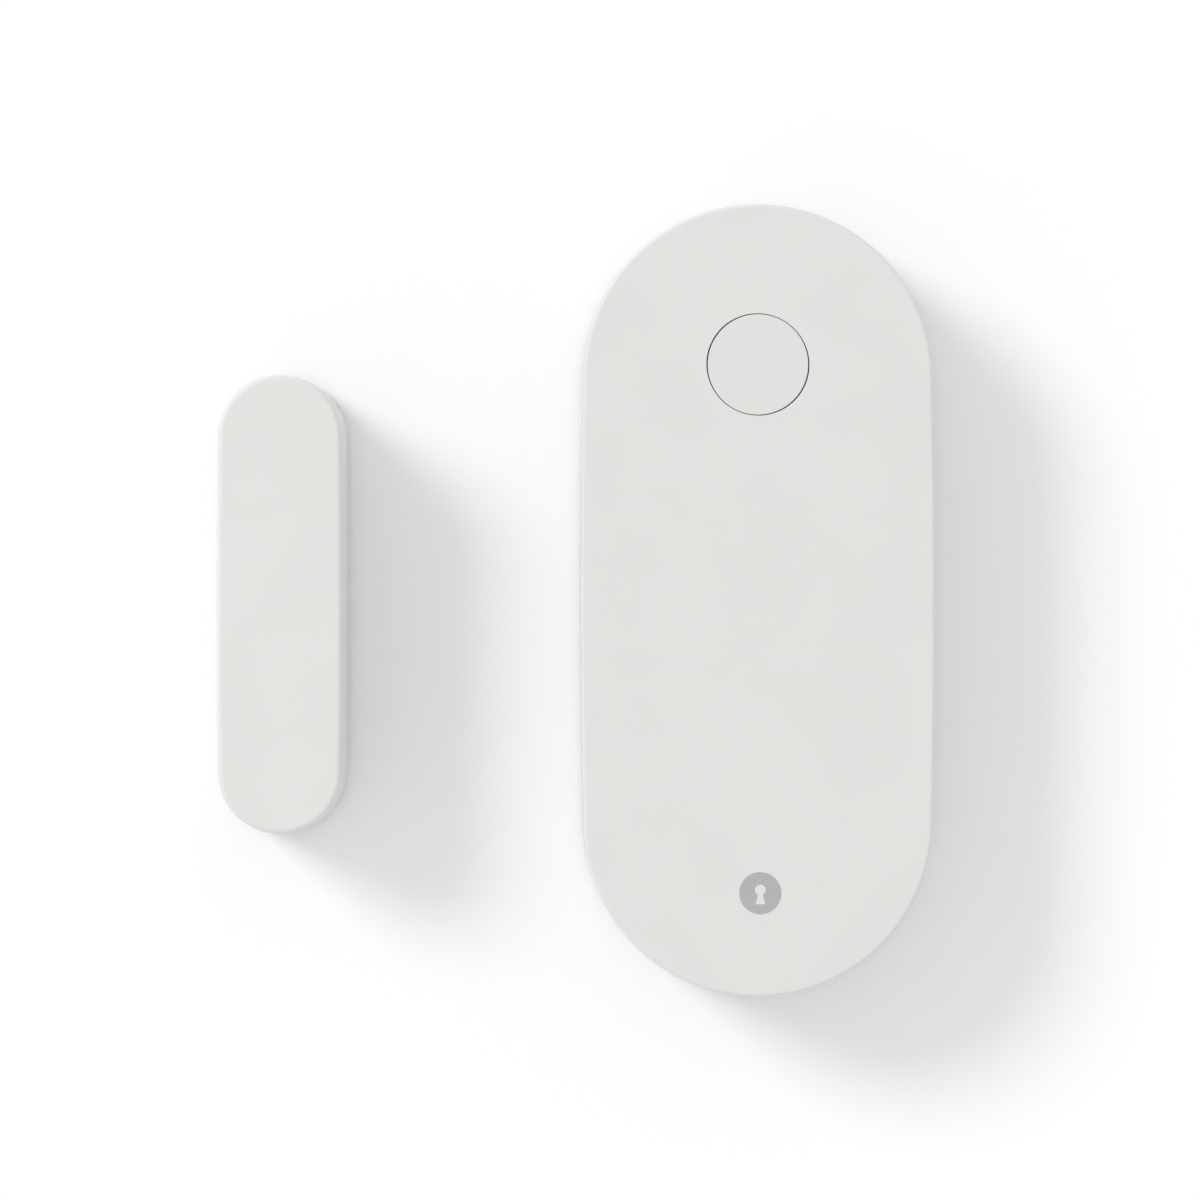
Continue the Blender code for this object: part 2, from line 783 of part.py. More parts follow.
# A guide collar under the face keeps the button upright. Its two slots take the
# button's keys, and its root is sunk in the face.
button_collar = turned(
    "button_collar",
    [
        (6.8 * MM, ceiling + 0.6 * MM), (6.8 * MM, 11.6 * MM),
        (5.8 * MM, 11.6 * MM), (5.8 * MM, ceiling + 0.6 * MM),
    ],
    steps=40,
    closed=True,
    location=(0, BUTTON_Y, 0),
    helper=True,
)
boolean(
    button_collar,
    block(
        "collar_key_slot",
        (-8.0 * MM, BUTTON_Y - 1.1 * MM, 10.5 * MM),
        (8.0 * MM, BUTTON_Y + 1.1 * MM, HEIGHT),
        helper=True,
    ),
)
boolean(front_cover, button_collar, "UNION")
boolean(
    front_cover,
    cylinder(
        "button_hole", BUTTON_HOLE_RADIUS, ceiling - 1.0 * MM, HEIGHT + 1.0 * MM,
        y=BUTTON_Y, steps=56, helper=True,
    ),
)

# The button's origin is on the axis that it slides along; the empty marks that axis.
button_axis = bpy.data.objects.new("button_axis", None)
PARTS.objects.link(button_axis)
button_axis.location = (0, BUTTON_Y, HEIGHT)
button_cap = turned(
    "button_cap",
    [
        (0, 0), (BUTTON_RADIUS - 0.12 * MM, 0), (BUTTON_RADIUS, -0.12 * MM),
        (BUTTON_RADIUS, -1.9 * MM), (5.3 * MM, -1.9 * MM), (5.3 * MM, -2.7 * MM),
        (1.8 * MM, -2.7 * MM), (1.5 * MM, 10.7 * MM - HEIGHT), (0, 10.7 * MM - HEIGHT),
    ],
    WHITE_BUTTON,
    steps=56,
    parent=button_axis,
)
boolean(
    button_cap,
    block(
        "button_key",
        (-6.4 * MM, BUTTON_Y - 0.8 * MM, HEIGHT - 2.7 * MM),
        (6.4 * MM, BUTTON_Y + 0.8 * MM, HEIGHT - 1.9 * MM),
        helper=True,
    ),
    "UNION",
)

# --- Magnet unit -----------------------------------------------------------------------------

magnet_unit = bpy.data.objects.new("magnet_unit_travel", None)
PARTS.objects.link(magnet_unit)
magnet_unit.location = (MAGNET_UNIT_X, MAGNET_UNIT_Y, 0)

magnet_adhesive_pad = smooth(
    mesh_object(
        "magnet_adhesive_pad",
        swept(MAGNET_UNIT, [(MAGNET_PAD_INSET, 0.0), (MAGNET_PAD_INSET, PAD)]),
        PAD_FOAM,
        parent=magnet_unit,
    )
)
MAGNET_WALL, MAGNET_GAP, MAGNET_LIP, MAGNET_LIP_TOP = 1.2 * MM, 0.2 * MM, 0.8 * MM, 6.0 * MM
magnet_base = smooth(
    mesh_object(
        "magnet_base",
        swept(MAGNET_UNIT, tray(MAGNET_WALL, MAGNET_GAP, MAGNET_LIP, MAGNET_LIP_TOP)),
        WHITE_REAR,
        parent=magnet_unit,
    )
)
# A stop across the tray at each end of the bar magnet.
for end, sign in (("low", -1), ("high", 1)):
    y = sign * (BAR_LENGTH / 2 + 0.7 * MM)
    boolean(
        magnet_base,
        block(
            f"magnet_stop_{end}",
            (MAGNET_UNIT_X - 1.6 * MM, MAGNET_UNIT_Y + y - 0.5 * MM, FLOOR_TOP - 0.6 * MM),
            (MAGNET_UNIT_X + 1.6 * MM, MAGNET_UNIT_Y + y + 0.5 * MM, 5.6 * MM),
            helper=True,
        ),
        "UNION",
    )
bar_magnet = block(
    "bar_magnet",
    (-BAR_WIDTH / 2, -BAR_LENGTH / 2, FLOOR_TOP + CONTACT),
    (BAR_WIDTH / 2, BAR_LENGTH / 2, FLOOR_TOP + CONTACT + BAR_HEIGHT),
    FERRITE,
    edge=0.3 * MM,
    edge_steps=2,
    parent=magnet_unit,
)
magnet_cover = smooth(
    mesh_object(
        "magnet_cover",
        swept(MAGNET_UNIT, cap(MAGNET_WALL, 1.5 * MM)),
        WHITE_SHELL,
        parent=magnet_unit,
    )
)
# Two cross ribs reach down from the cover and hold the bar magnet in its tray.
for end, sign in (("low", -1), ("high", 1)):
    boolean(
        magnet_cover,
        block(
            f"hold_down_{end}",
            (MAGNET_UNIT_X - 4.6 * MM, MAGNET_UNIT_Y + sign * 9 * MM - 0.5 * MM, FLOOR_TOP + CONTACT + BAR_HEIGHT + 0.1 * MM),
            (MAGNET_UNIT_X + 4.6 * MM, MAGNET_UNIT_Y + sign * 9 * MM + 0.5 * MM, HEIGHT - 1.0 * MM),
            helper=True,
        ),
        "UNION",
    )
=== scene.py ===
"""Looks of the door contact sensor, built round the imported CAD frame.

Both units lie face up on a pale floor and are seen from straight above. The
shells, pads, button and inner parts are remade here with fine outlines and
procedural materials. Every piece rides on its CAD body.
"""

import json
import math

import bmesh
import bpy
from mathutils import Matrix, Vector

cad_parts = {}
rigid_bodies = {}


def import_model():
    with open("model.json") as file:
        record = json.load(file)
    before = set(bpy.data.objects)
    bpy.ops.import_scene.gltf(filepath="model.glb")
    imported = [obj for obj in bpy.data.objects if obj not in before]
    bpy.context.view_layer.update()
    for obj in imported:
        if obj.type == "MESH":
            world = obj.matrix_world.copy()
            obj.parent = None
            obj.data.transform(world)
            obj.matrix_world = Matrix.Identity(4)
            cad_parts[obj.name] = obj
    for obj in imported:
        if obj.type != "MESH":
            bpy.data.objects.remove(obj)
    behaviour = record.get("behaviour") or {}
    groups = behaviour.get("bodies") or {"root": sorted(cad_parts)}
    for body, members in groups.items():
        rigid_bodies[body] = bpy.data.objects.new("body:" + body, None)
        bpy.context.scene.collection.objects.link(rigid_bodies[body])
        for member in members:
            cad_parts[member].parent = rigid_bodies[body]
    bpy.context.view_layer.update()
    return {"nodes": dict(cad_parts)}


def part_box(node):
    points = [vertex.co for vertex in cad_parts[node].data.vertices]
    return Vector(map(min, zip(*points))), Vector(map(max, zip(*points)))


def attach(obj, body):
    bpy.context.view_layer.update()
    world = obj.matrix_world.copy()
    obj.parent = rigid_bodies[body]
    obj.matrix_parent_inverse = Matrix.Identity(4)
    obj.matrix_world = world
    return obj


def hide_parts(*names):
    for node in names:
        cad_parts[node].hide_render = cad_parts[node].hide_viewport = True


MM = 0.001

for old in list(bpy.data.objects):
    bpy.data.objects.remove(old, do_unlink=True)

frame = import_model()
scene = bpy.context.scene

# --- Sizes read from the frame ------------------------------------------------

cover_low, cover_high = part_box("front_cover")
rear_low, rear_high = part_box("rear_cover")
pad_low, pad_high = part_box("sensor_adhesive_pad")
board_low, board_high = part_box("circuit_board")
button_low, button_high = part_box("button_cap")
mcover_low, mcover_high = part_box("magnet_cover")
mbase_low, mbase_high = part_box("magnet_base")
mpad_low, mpad_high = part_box("magnet_adhesive_pad")
bar_low, bar_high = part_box("bar_magnet")

TOP = cover_high.z
PARTING_HIGH = cover_low.z
PARTING_LOW = 3.6 * MM
FLOOR_TOP = 2.25 * MM
BOARD_TOP = board_high.z
BOARD_BOTTOM = board_low.z
BUTTON_Y = (button_low.y + button_high.y) / 2
MAGNET_AT = (mcover_low + mcover_high) / 2

DRAFT = 0.12 * MM
WALL = 1.4 * MM
FACE_THICKNESS = 1.6 * MM
LIP_GAP = 0.3 * MM
LIP = 1.0 * MM
BUTTON_RADIUS = 4.425 * MM
HOLE_RADIUS = 4.508 * MM
SENSOR_END_RADIUS = 15.47 * MM
MAGNET_END_RADIUS = 5.55 * MM


# --- Mesh helpers ---------------------------------------------------------------


def stadium(width, length, end_radius, end_steps, side_steps):
    """A stadium with gently bowed sides, as points at any inset from its edge."""
    half, ends = width / 2, length / 2 - end_radius
    side_radius = (half**2 + ends**2 - end_radius**2) / (2 * (half - end_radius))
    meet = math.atan2(ends, side_radius - half)

    def at(inset):
        points = []
        for turn in (0, math.pi):
            for k in range(end_steps + 1):
                a = turn + meet + (math.pi - 2 * meet) * k / end_steps
                points.append(
                    (
                        (end_radius - inset) * math.cos(a),
                        (ends if turn == 0 else -ends)
                        + (end_radius - inset) * math.sin(a),
                    )
                )
            for k in range(1, side_steps):
                a = turn + math.pi - meet + 2 * meet * k / side_steps
                shift = side_radius - half if turn == 0 else half - side_radius
                points.append(
                    (
                        shift + (side_radius - inset) * math.cos(a),
                        (side_radius - inset) * math.sin(a),
                    )
                )
        return points

    return at


def circle(radius, steps, x=0.0, y=0.0, oval=0.0, turn=0.0):
    """A circle, or one slightly out of round along the angle turn, as points at any inset from its edge."""

    def at(inset):
        points = []
        for k in range(steps):
            a = 2 * math.pi * k / steps
            r = radius + oval * math.cos(2 * (a - turn)) - inset
            points.append((x + r * math.cos(a), y + r * math.sin(a)))
        return points

    return at


def rings(bm, outline, profile):
    """Carries a profile of (inset, z) round an outline and returns its first and last ring."""
    made = []
    for inset, z in profile:
        made.append([bm.verts.new((x, y, z)) for x, y in outline(inset)])
    for a, b in zip(made, made[1:]):
        n = len(a)
        for k in range(n):
            bm.faces.new((a[k], a[(k + 1) % n], b[(k + 1) % n], b[k]))
    return made[0], made[-1]


def loop_edges(ring):
    n = len(ring)
    found = []
    for k in range(n):
        for e in ring[k].link_edges:
            if e.other_vert(ring[k]) is ring[(k + 1) % n]:
                found.append(e)
                break
    return found


def fill_between(bm, outer, inner):
    """Fills the flat region between two rings."""
    bmesh.ops.triangle_fill(
        bm, use_beauty=True, use_dissolve=False, edges=loop_edges(outer) + loop_edges(inner)
    )


def arc(inset, z, radius, steps, start=0.0, end=90.0):
    """Points of a rounded edge from a wall, at this inset, up to the level z."""
    points = []
    for k in range(steps + 1):
        a = math.radians(start + (end - start) * k / steps)
        points.append((inset + radius * (1 - math.cos(a)), z - radius * (1 - math.sin(a))))
    return points


def to_object(name, bm, material, body, replaces=(), angle=40, location=None):
    bmesh.ops.recalc_face_normals(bm, faces=bm.faces[:])
    mesh = bpy.data.meshes.new(name)
    bm.to_mesh(mesh)
    bm.free()
    obj = bpy.data.objects.new(name, mesh)
    scene.collection.objects.link(obj)
    if location is not None:
        obj.location = location
    mesh.shade_smooth()
    mesh.set_sharp_from_angle(angle=math.radians(angle))
    if material is not None:
        mesh.materials.append(material)
    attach(obj, body)
    if replaces:
        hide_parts(*replaces)
    return obj


def join_solid(obj, bm_maker, operation="UNION"):
    """Joins or cuts a helper shape with an exact Boolean that is applied at once."""
    bm = bm_maker()
    bmesh.ops.recalc_face_normals(bm, faces=bm.faces[:])
    mesh = bpy.data.meshes.new("helper")
    bm.to_mesh(mesh)
    bm.free()
    helper = bpy.data.objects.new("helper", mesh)
    scene.collection.objects.link(helper)
    modifier = obj.modifiers.new("join", "BOOLEAN")
    modifier.operation = operation
    modifier.solver = "EXACT"
    modifier.object = helper
    graph = bpy.context.evaluated_depsgraph_get()
    made = bpy.data.meshes.new_from_object(obj.evaluated_get(graph))
    obj.modifiers.clear()
    old = obj.data
    made.name = old.name
    obj.data = made
    bpy.data.objects.remove(helper, do_unlink=True)
    made.shade_smooth()
    made.set_sharp_from_angle(angle=math.radians(40))
    return obj


def merged(*makers):
    """Several closed shapes that don't touch, as one helper mesh."""
    whole = bmesh.new()
    for maker in makers:
        bm = maker() if callable(maker) else maker
        part = bpy.data.meshes.new("part")
        bm.to_mesh(part)
        bm.free()
        whole.from_mesh(part)
        bpy.data.meshes.remove(part)
    return whole


def box_bm(low, high, edge=0.0, steps=2, upright=False):
    low, high = Vector(low), Vector(high)
    bm = bmesh.new()
    bmesh.ops.create_cube(
        bm,
        size=1.0,
        matrix=Matrix.Translation((low + high) / 2)
        @ Matrix.Diagonal((*(high - low), 1.0)),
    )
    if edge:
        edges = [
            e
            for e in bm.edges
            if not upright
            or abs(e.verts[0].co.z - e.verts[1].co.z) > 0.5 * (high - low).z
        ]
        bmesh.ops.bevel(
            bm, geom=edges, offset=edge, offset_type="OFFSET",
            segments=steps, profile=0.5, affect="EDGES",
        )
    return bm


def turned_bm(profile, steps=64, x=0.0, y=0.0, z=0.0, closed=False):
    """A turned shape from (radius, z) points, from the top down the outer side."""
    bm = bmesh.new()
    loops = []
    for r, h in profile:
        if r < 1e-9:
            loops.append([bm.verts.new((x, y, z + h))])
        else:
            loops.append(
                [
                    bm.verts.new(
                        (
                            x + r * math.cos(2 * math.pi * k / steps),
                            y + r * math.sin(2 * math.pi * k / steps),
                            z + h,
                        )
                    )
                    for k in range(steps)
                ]
            )
    pairs = list(zip(loops, loops[1:]))
    if closed:
        pairs.append((loops[-1], loops[0]))
    for a, b in pairs:
        for k in range(steps):
            j = (k + 1) % steps
            if len(a) == 1 and len(b) > 1:
                bm.faces.new((a[0], b[k], b[j]))
            elif len(b) == 1 and len(a) > 1:
                bm.faces.new((a[k], b[0], a[j]))
            elif len(a) > 1:
                bm.faces.new((a[k], b[k], b[j], a[j]))
    return bm


# --- Materials --------------------------------------------------------------------


class Nodes:
    """A material and short ways to add the nodes that drive it."""

    def __init__(self, name, rgb, roughness, metallic=0.0):
        self.material = bpy.data.materials.new(name)
        self.material.use_nodes = True
        self.tree = self.material.node_tree
        self.shader = self.tree.nodes["Principled BSDF"]
        self.shader.inputs["Base Color"].default_value = (*rgb, 1)
        self.shader.inputs["Roughness"].default_value = roughness
        self.shader.inputs["Metallic"].default_value = metallic
        self.coords = self.tree.nodes.new("ShaderNodeTexCoord").outputs["Object"]

    def link(self, a, b):
        self.tree.links.new(a, b)

    def stretched(self, scale):
        mapping = self.tree.nodes.new("ShaderNodeMapping")
        mapping.inputs["Scale"].default_value = scale
        self.link(self.coords, mapping.inputs["Vector"])
        return mapping.outputs["Vector"]

    def noise(self, size, detail=3.0, rough=0.5, coords=None):
        """Noise whose features are about this many metres across."""
        node = self.tree.nodes.new("ShaderNodeTexNoise")
        node.inputs["Scale"].default_value = 1.0 / size
        node.inputs["Detail"].default_value = detail
        node.inputs["Roughness"].default_value = rough
        self.link(coords or self.coords, node.inputs["Vector"])
        return node.outputs["Fac"]

    def cells(self, size, feature="F1", output="Distance", randomness=1.0, coords=None):
        node = self.tree.nodes.new("ShaderNodeTexVoronoi")
        node.feature = feature
        node.inputs["Scale"].default_value = 1.0 / size
        node.inputs["Randomness"].default_value = randomness
        self.link(coords or self.coords, node.inputs["Vector"])
        return node.outputs[output]

    def remap(self, value, low, high, to_low, to_high, smooth=False):
        node = self.tree.nodes.new("ShaderNodeMapRange")
        if smooth:
            node.interpolation_type = "SMOOTHSTEP"
        for k, v in (("From Min", low), ("From Max", high), ("To Min", to_low), ("To Max", to_high)):
            node.inputs[k].default_value = v
        self.link(value, node.inputs["Value"])
        return node.outputs["Result"]

    def blend_colours(self, factor, a, b):
        node = self.tree.nodes.new("ShaderNodeMix")
        node.data_type = "RGBA"
        node.inputs[6].default_value = (*a, 1)
        node.inputs[7].default_value = (*b, 1)
        self.link(factor, node.inputs[0])
        return node.outputs[2]

    def math(self, operation, a, b=None):
        node = self.tree.nodes.new("ShaderNodeMath")
        node.operation = operation
        for k, v in enumerate((a, b)):
            if v is None:
                continue
            if isinstance(v, (int, float)):
                node.inputs[k].default_value = v
            else:
                self.link(v, node.inputs[k])
        return node.outputs[0]

    def colour(self, value):
        self.link(value, self.shader.inputs["Base Color"])

    def roughness(self, value):
        self.link(value, self.shader.inputs["Roughness"])

    def bump(self, height, depth, strength=1.0):
        """Bump of this real depth, in metres."""
        node = self.tree.nodes.new("ShaderNodeBump")
        node.inputs["Strength"].default_value = strength
        node.inputs["Distance"].default_value = depth
        self.link(height, node.inputs["Height"])
        self.link(node.outputs["Normal"], self.shader.inputs["Normal"])


def scaled(rgb, k):
    return tuple(min(1.0, c * k) for c in rgb)


def moulded_plastic(name, rgb, roughness=0.5, grain=0.10 * MM, depth=0.004 * MM, mottle=0.012):
    """Matte moulded plastic: a spark-eroded grain, and a faint mottle in colour and gloss."""
    m = Nodes(name, rgb, roughness)
    slow = m.noise(9 * MM, detail=2)
    fine = m.noise(grain, detail=2, rough=0.6)
    m.colour(m.blend_colours(m.remap(slow, 0.3, 0.7, 0, 1), scaled(rgb, 1 - mottle), scaled(rgb, 1 + mottle)))
    m.roughness(
        m.math("ADD", m.remap(fine, 0.3, 0.7, roughness - 0.04, roughness + 0.04), m.remap(slow, 0.3, 0.7, -0.02, 0.02))
    )
    m.bump(fine, depth)
    m.shader.inputs["IOR"].default_value = 1.5
    return m.material


FACE_RGB = (0.715, 0.715, 0.698)
shell_plastic = moulded_plastic("moulded_shell_plastic", scaled(FACE_RGB, 0.98), 0.55)
magnet_plastic = moulded_plastic("moulded_magnet_plastic", scaled(FACE_RGB, 1.0), 0.55)
rear_plastic = moulded_plastic("moulded_rear_plastic", scaled(FACE_RGB, 0.985), 0.6, grain=0.16 * MM, depth=0.006 * MM)
button_plastic = moulded_plastic("moulded_button_plastic", scaled(FACE_RGB, 0.967), 0.5, grain=0.08 * MM)


def foam(name, rgb):
    """Closed-cell foam tape: small round cells, some of them darker, with a dull skin."""
    m = Nodes(name, rgb, 0.9)
    cell = m.cells(0.14 * MM)
    slow = m.noise(3 * MM, detail=2)
    tone = m.math("ADD", m.remap(cell, 0.0, 0.55, 0.0, 0.7), m.remap(slow, 0.3, 0.7, 0.0, 0.3))
    m.colour(m.blend_colours(tone, scaled(rgb, 0.86), scaled(rgb, 1.05)))
    m.roughness(m.remap(cell, 0.0, 0.6, 0.82, 0.95))
    m.bump(cell, 0.02 * MM)
    return m.material


def sheet_metal(name, rgb, roughness=0.3, along=(1.0, 12.0, 1.0), grain=0.35 * MM):
    """Rolled and plated sheet: fine lines along the rolling direction and a soft cloud in the plating."""
    m = Nodes(name, rgb, roughness, metallic=1.0)
    lines = m.noise(grain, detail=3, rough=0.6, coords=m.stretched(along))
    cloud = m.noise(2.5 * MM, detail=2)
    m.colour(m.blend_colours(m.remap(cloud, 0.3, 0.7, 0, 1), scaled(rgb, 0.93), scaled(rgb, 1.04)))
    m.roughness(m.math("ADD", m.remap(lines, 0.3, 0.7, roughness - 0.08, roughness + 0.08), m.remap(cloud, 0.3, 0.7, -0.03, 0.05)))
    m.bump(lines, 0.002 * MM)
    return m.material


def cast_plastic(name, rgb, roughness=0.45, grain=0.12 * MM, filler=0.0):
    """Small technical mouldings, with a fine grain and, where filled, pale specks of glass fibre."""
    m = Nodes(name, rgb, roughness)
    fine = m.noise(grain, detail=3, rough=0.6)
    slow = m.noise(4 * MM, detail=2)
    base = m.remap(slow, 0.3, 0.7, 0.0, 1.0)
    if filler:
        speck = m.remap(m.noise(0.09 * MM, detail=1, coords=m.stretched((1.0, 0.3, 1.0))), 0.64, 0.72, 0.0, filler)
        base = m.math("ADD", base, speck)
    m.colour(m.blend_colours(base, scaled(rgb, 0.88), tuple(min(1.0, c * 1.12 + 0.004) for c in rgb)))
    m.roughness(m.remap(fine, 0.3, 0.7, roughness - 0.06, roughness + 0.08))
    m.bump(fine, 0.004 * MM)
    return m.material


def laminate(name, rgb, roughness=0.32):
    """Solder mask over woven glass laminate: the weave shows as a faint grid."""
    m = Nodes(name, rgb, roughness)
    warp = m.noise(0.5 * MM, detail=1, coords=m.stretched((1.0, 0.06, 1.0)))
    weft = m.noise(0.5 * MM, detail=1, coords=m.stretched((0.06, 1.0, 1.0)))
    weave = m.math("MULTIPLY", m.math("ADD", warp, weft), 0.5)
    slow = m.noise(6 * MM, detail=2)
    tone = m.math("ADD", m.remap(weave, 0.35, 0.65, 0.0, 0.6), m.remap(slow, 0.3, 0.7, 0.0, 0.4))
    m.colour(m.blend_colours(tone, scaled(rgb, 0.82), scaled(rgb, 1.22)))
    m.roughness(m.remap(weave, 0.35, 0.65, roughness - 0.05, roughness + 0.08))
    m.bump(weave, 0.006 * MM)
    m.shader.inputs["Coat Weight"].default_value = 0.3
    m.shader.inputs["Coat Roughness"].default_value = 0.15
    return m.material


def clear_glass(name, rgb):
    m = Nodes(name, rgb, 0.04)
    m.shader.inputs["Transmission Weight"].default_value = 0.95
    m.shader.inputs["IOR"].default_value = 1.48
    ripple = m.noise(1.2 * MM, detail=2, coords=m.stretched((1.0, 0.25, 1.0)))
    m.roughness(m.remap(ripple, 0.3, 0.7, 0.02, 0.07))
    m.bump(ripple, 0.004 * MM)
    return m.material


def slot_rgb(node):
    """The colour that a CAD node carries from the record."""
    for each in frame["nodes"][node].material_slots:
        shader = each.material.node_tree.nodes.get("Principled BSDF")
        if shader:
            return tuple(shader.inputs["Base Color"].default_value[:3])
    return (0.5, 0.5, 0.5)


pad_foam = foam("white_foam_tape", (0.60, 0.60, 0.58))
spring_steel = sheet_metal("plated_spring_steel", slot_rgb("cell_positive_clip"), 0.28)
shield_steel = sheet_metal("tinned_shield_steel", slot_rgb("radio_shield"), 0.34, along=(12.0, 1.0, 1.0))
cell_steel = sheet_metal("nickel_cell_steel", slot_rgb("coin_cell"), 0.24, along=(1.0, 9.0, 1.0), grain=0.25 * MM)
zinc_steel = sheet_metal("zinc_screw_steel", slot_rgb("board_screw_top"), 0.36, along=(1.0, 1.0, 1.0), grain=0.2 * MM)
magnet_nickel = sheet_metal("magnet_nickel_plate", slot_rgb("bar_magnet"), 0.22, along=(1.0, 1.0, 1.0), grain=0.3 * MM)
can_aluminium = sheet_metal("capacitor_can_aluminium", slot_rgb("bulk_capacitor"), 0.32, along=(1.0, 1.0, 10.0))
black_resin = cast_plastic("black_moulded_resin", slot_rgb("cell_holder"), 0.42, filler=0.5)
chip_resin = cast_plastic("chip_epoxy", scaled(slot_rgb("radio_chip"), 0.9), 0.5, grain=0.07 * MM)
ivory_resin = cast_plastic("ivory_plunger_resin", slot_rgb("switch_plunger"), 0.4)
antenna_ceramic = cast_plastic("antenna_ceramic_body", slot_rgb("radio_antenna"), 0.35, grain=0.06 * MM)
board_mask = laminate("green_solder_mask", slot_rgb("circuit_board"))
radio_mask = laminate("radio_solder_mask", slot_rgb("radio_board"))
reed_glass_material = clear_glass("reed_green_glass", slot_rgb("reed_glass"))
lens_resin = cast_plastic("led_lens_resin", slot_rgb("status_led"), 0.18, grain=0.3 * MM)
track_mask = laminate("masked_copper_track", tuple(min(1.0, c * 1.7 + 0.01) for c in slot_rgb("circuit_board")), 0.3)
gold_plate = sheet_metal("gold_plated_land", (0.80, 0.60, 0.26), 0.3, along=(1.0, 1.0, 1.0), grain=0.12 * MM)
solder = sheet_metal("reflowed_solder", (0.70, 0.71, 0.72), 0.2, along=(1.0, 1.0, 1.0), grain=0.3 * MM)
seal_resin = cast_plastic("cell_gasket_resin", (0.03, 0.03, 0.032), 0.5)
lamp_resin = cast_plastic("led_reflector_resin", (0.78, 0.78, 0.76), 0.4)
band_ink = cast_plastic("capacitor_band_ink", (0.015, 0.015, 0.017), 0.45)

# --- Front cover ------------------------------------------------------------------------

END_STEPS, SIDE_STEPS = 72, 20
sensor = stadium(cover_high.x - cover_low.x, cover_high.y - cover_low.y, SENSOR_END_RADIUS, END_STEPS, SIDE_STEPS)
magnet = stadium(mcover_high.x - mcover_low.x, mcover_high.y - mcover_low.y, MAGNET_END_RADIUS, 48, 20)
ceiling = TOP - FACE_THICKNESS


def cover_profile(wall, face, top, fillet):
    """Rim, drafted wall and fillet of a cover, from its inner ceiling to the edge of its flat face."""
    return [
        (wall + DRAFT + 0.5 * MM, top - face),
        *[(wall + DRAFT + 0.4 * MM * (1 - math.sin(math.radians(15 * k))),
           top - face - 0.4 * MM * (1 - math.cos(math.radians(15 * k)))) for k in range(0, 7)],
        (wall, PARTING_HIGH + 0.3 * MM),
        (wall - 0.25 * MM, PARTING_HIGH),
        (0.12 * MM, PARTING_HIGH),
        (0.035 * MM, PARTING_HIGH + 0.035 * MM),
        (0.0, PARTING_HIGH + 0.12 * MM),
        (DRAFT, top - fillet),
        *arc(DRAFT, top, fillet, 10)[1:],
        (DRAFT + fillet + 0.05 * MM, top),
    ]


bm = bmesh.new()
inner_edge, face_edge = rings(bm, sensor, cover_profile(WALL, FACE_THICKNESS, TOP, 0.3 * MM))
# As moulded, the hole is a few hundredths out of round, so the gap isn't even all the way round.
hole = circle(HOLE_RADIUS, 160, y=BUTTON_Y, oval=0.03 * MM, turn=math.radians(155))
round_edge = 0.06 * MM
hole_top, hole_bottom = rings(
    bm,
    hole,
    [
        (-round_edge - 0.04 * MM, TOP),
        *[(-round_edge * (1 - math.sin(math.radians(15 * k))),
           TOP - round_edge * (1 - math.cos(math.radians(15 * k)))) for k in range(0, 7)],
        (0.0, ceiling),
    ],
)
fill_between(bm, face_edge, hole_top)
fill_between(bm, inner_edge, hole_bottom)
front = to_object(
    "front_cover_shell", bm, shell_plastic, "front_cover", replaces=("front_cover",)
)

# The guide collar under the face, with its two key slots.
join_solid(
    front,
    lambda: turned_bm(
        [
            (6.8 * MM, ceiling + 0.6 * MM), (6.8 * MM, 11.8 * MM), (6.6 * MM, 11.6 * MM),
            (6.0 * MM, 11.6 * MM), (5.8 * MM, 11.8 * MM), (5.8 * MM, ceiling + 0.6 * MM),
        ],
        steps=96,
        y=BUTTON_Y,
        closed=True,
    ),
)
join_solid(
    front,
    lambda: box_bm((-7.6 * MM, BUTTON_Y - 1.1 * MM, 11.0 * MM), (7.6 * MM, BUTTON_Y + 1.1 * MM, ceiling + 0.02 * MM)),
    "DIFFERENCE",
)

# --- Button -------------------------------------------------------------------------------

r = BUTTON_RADIUS
edge = 0.06 * MM
button_profile = [(0, 0), (r * 0.5, 0), (r - edge - 0.05 * MM, 0)]
button_profile += [
    (r - edge + edge * math.sin(math.radians(15 * k)), -edge * (1 - math.cos(math.radians(15 * k))))
    for k in range(0, 7)
]
button_profile += [
    (r, -1.85 * MM), (r + 0.05 * MM, -1.9 * MM), (5.2 * MM, -1.9 * MM), (5.3 * MM, -2.0 * MM),
    (5.3 * MM, -2.6 * MM), (5.2 * MM, -2.7 * MM), (1.8 * MM, -2.7 * MM),
    (1.5 * MM, 10.7 * MM - TOP + 0.1 * MM), (1.4 * MM, 10.7 * MM - TOP), (0, 10.7 * MM - TOP),
]
button = to_object(
    "button_cap_moulded", turned_bm(button_profile, 160, y=BUTTON_Y, z=TOP), button_plastic,
    "button", replaces=("button_cap",),
)
join_solid(
    button,
    lambda: box_bm(
        (-6.4 * MM, BUTTON_Y - 0.8 * MM, TOP - 2.68 * MM), (6.4 * MM, BUTTON_Y + 0.8 * MM, TOP - 1.92 * MM), 0.1 * MM
    ),
)

# --- Rear cover -----------------------------------------------------------------------------


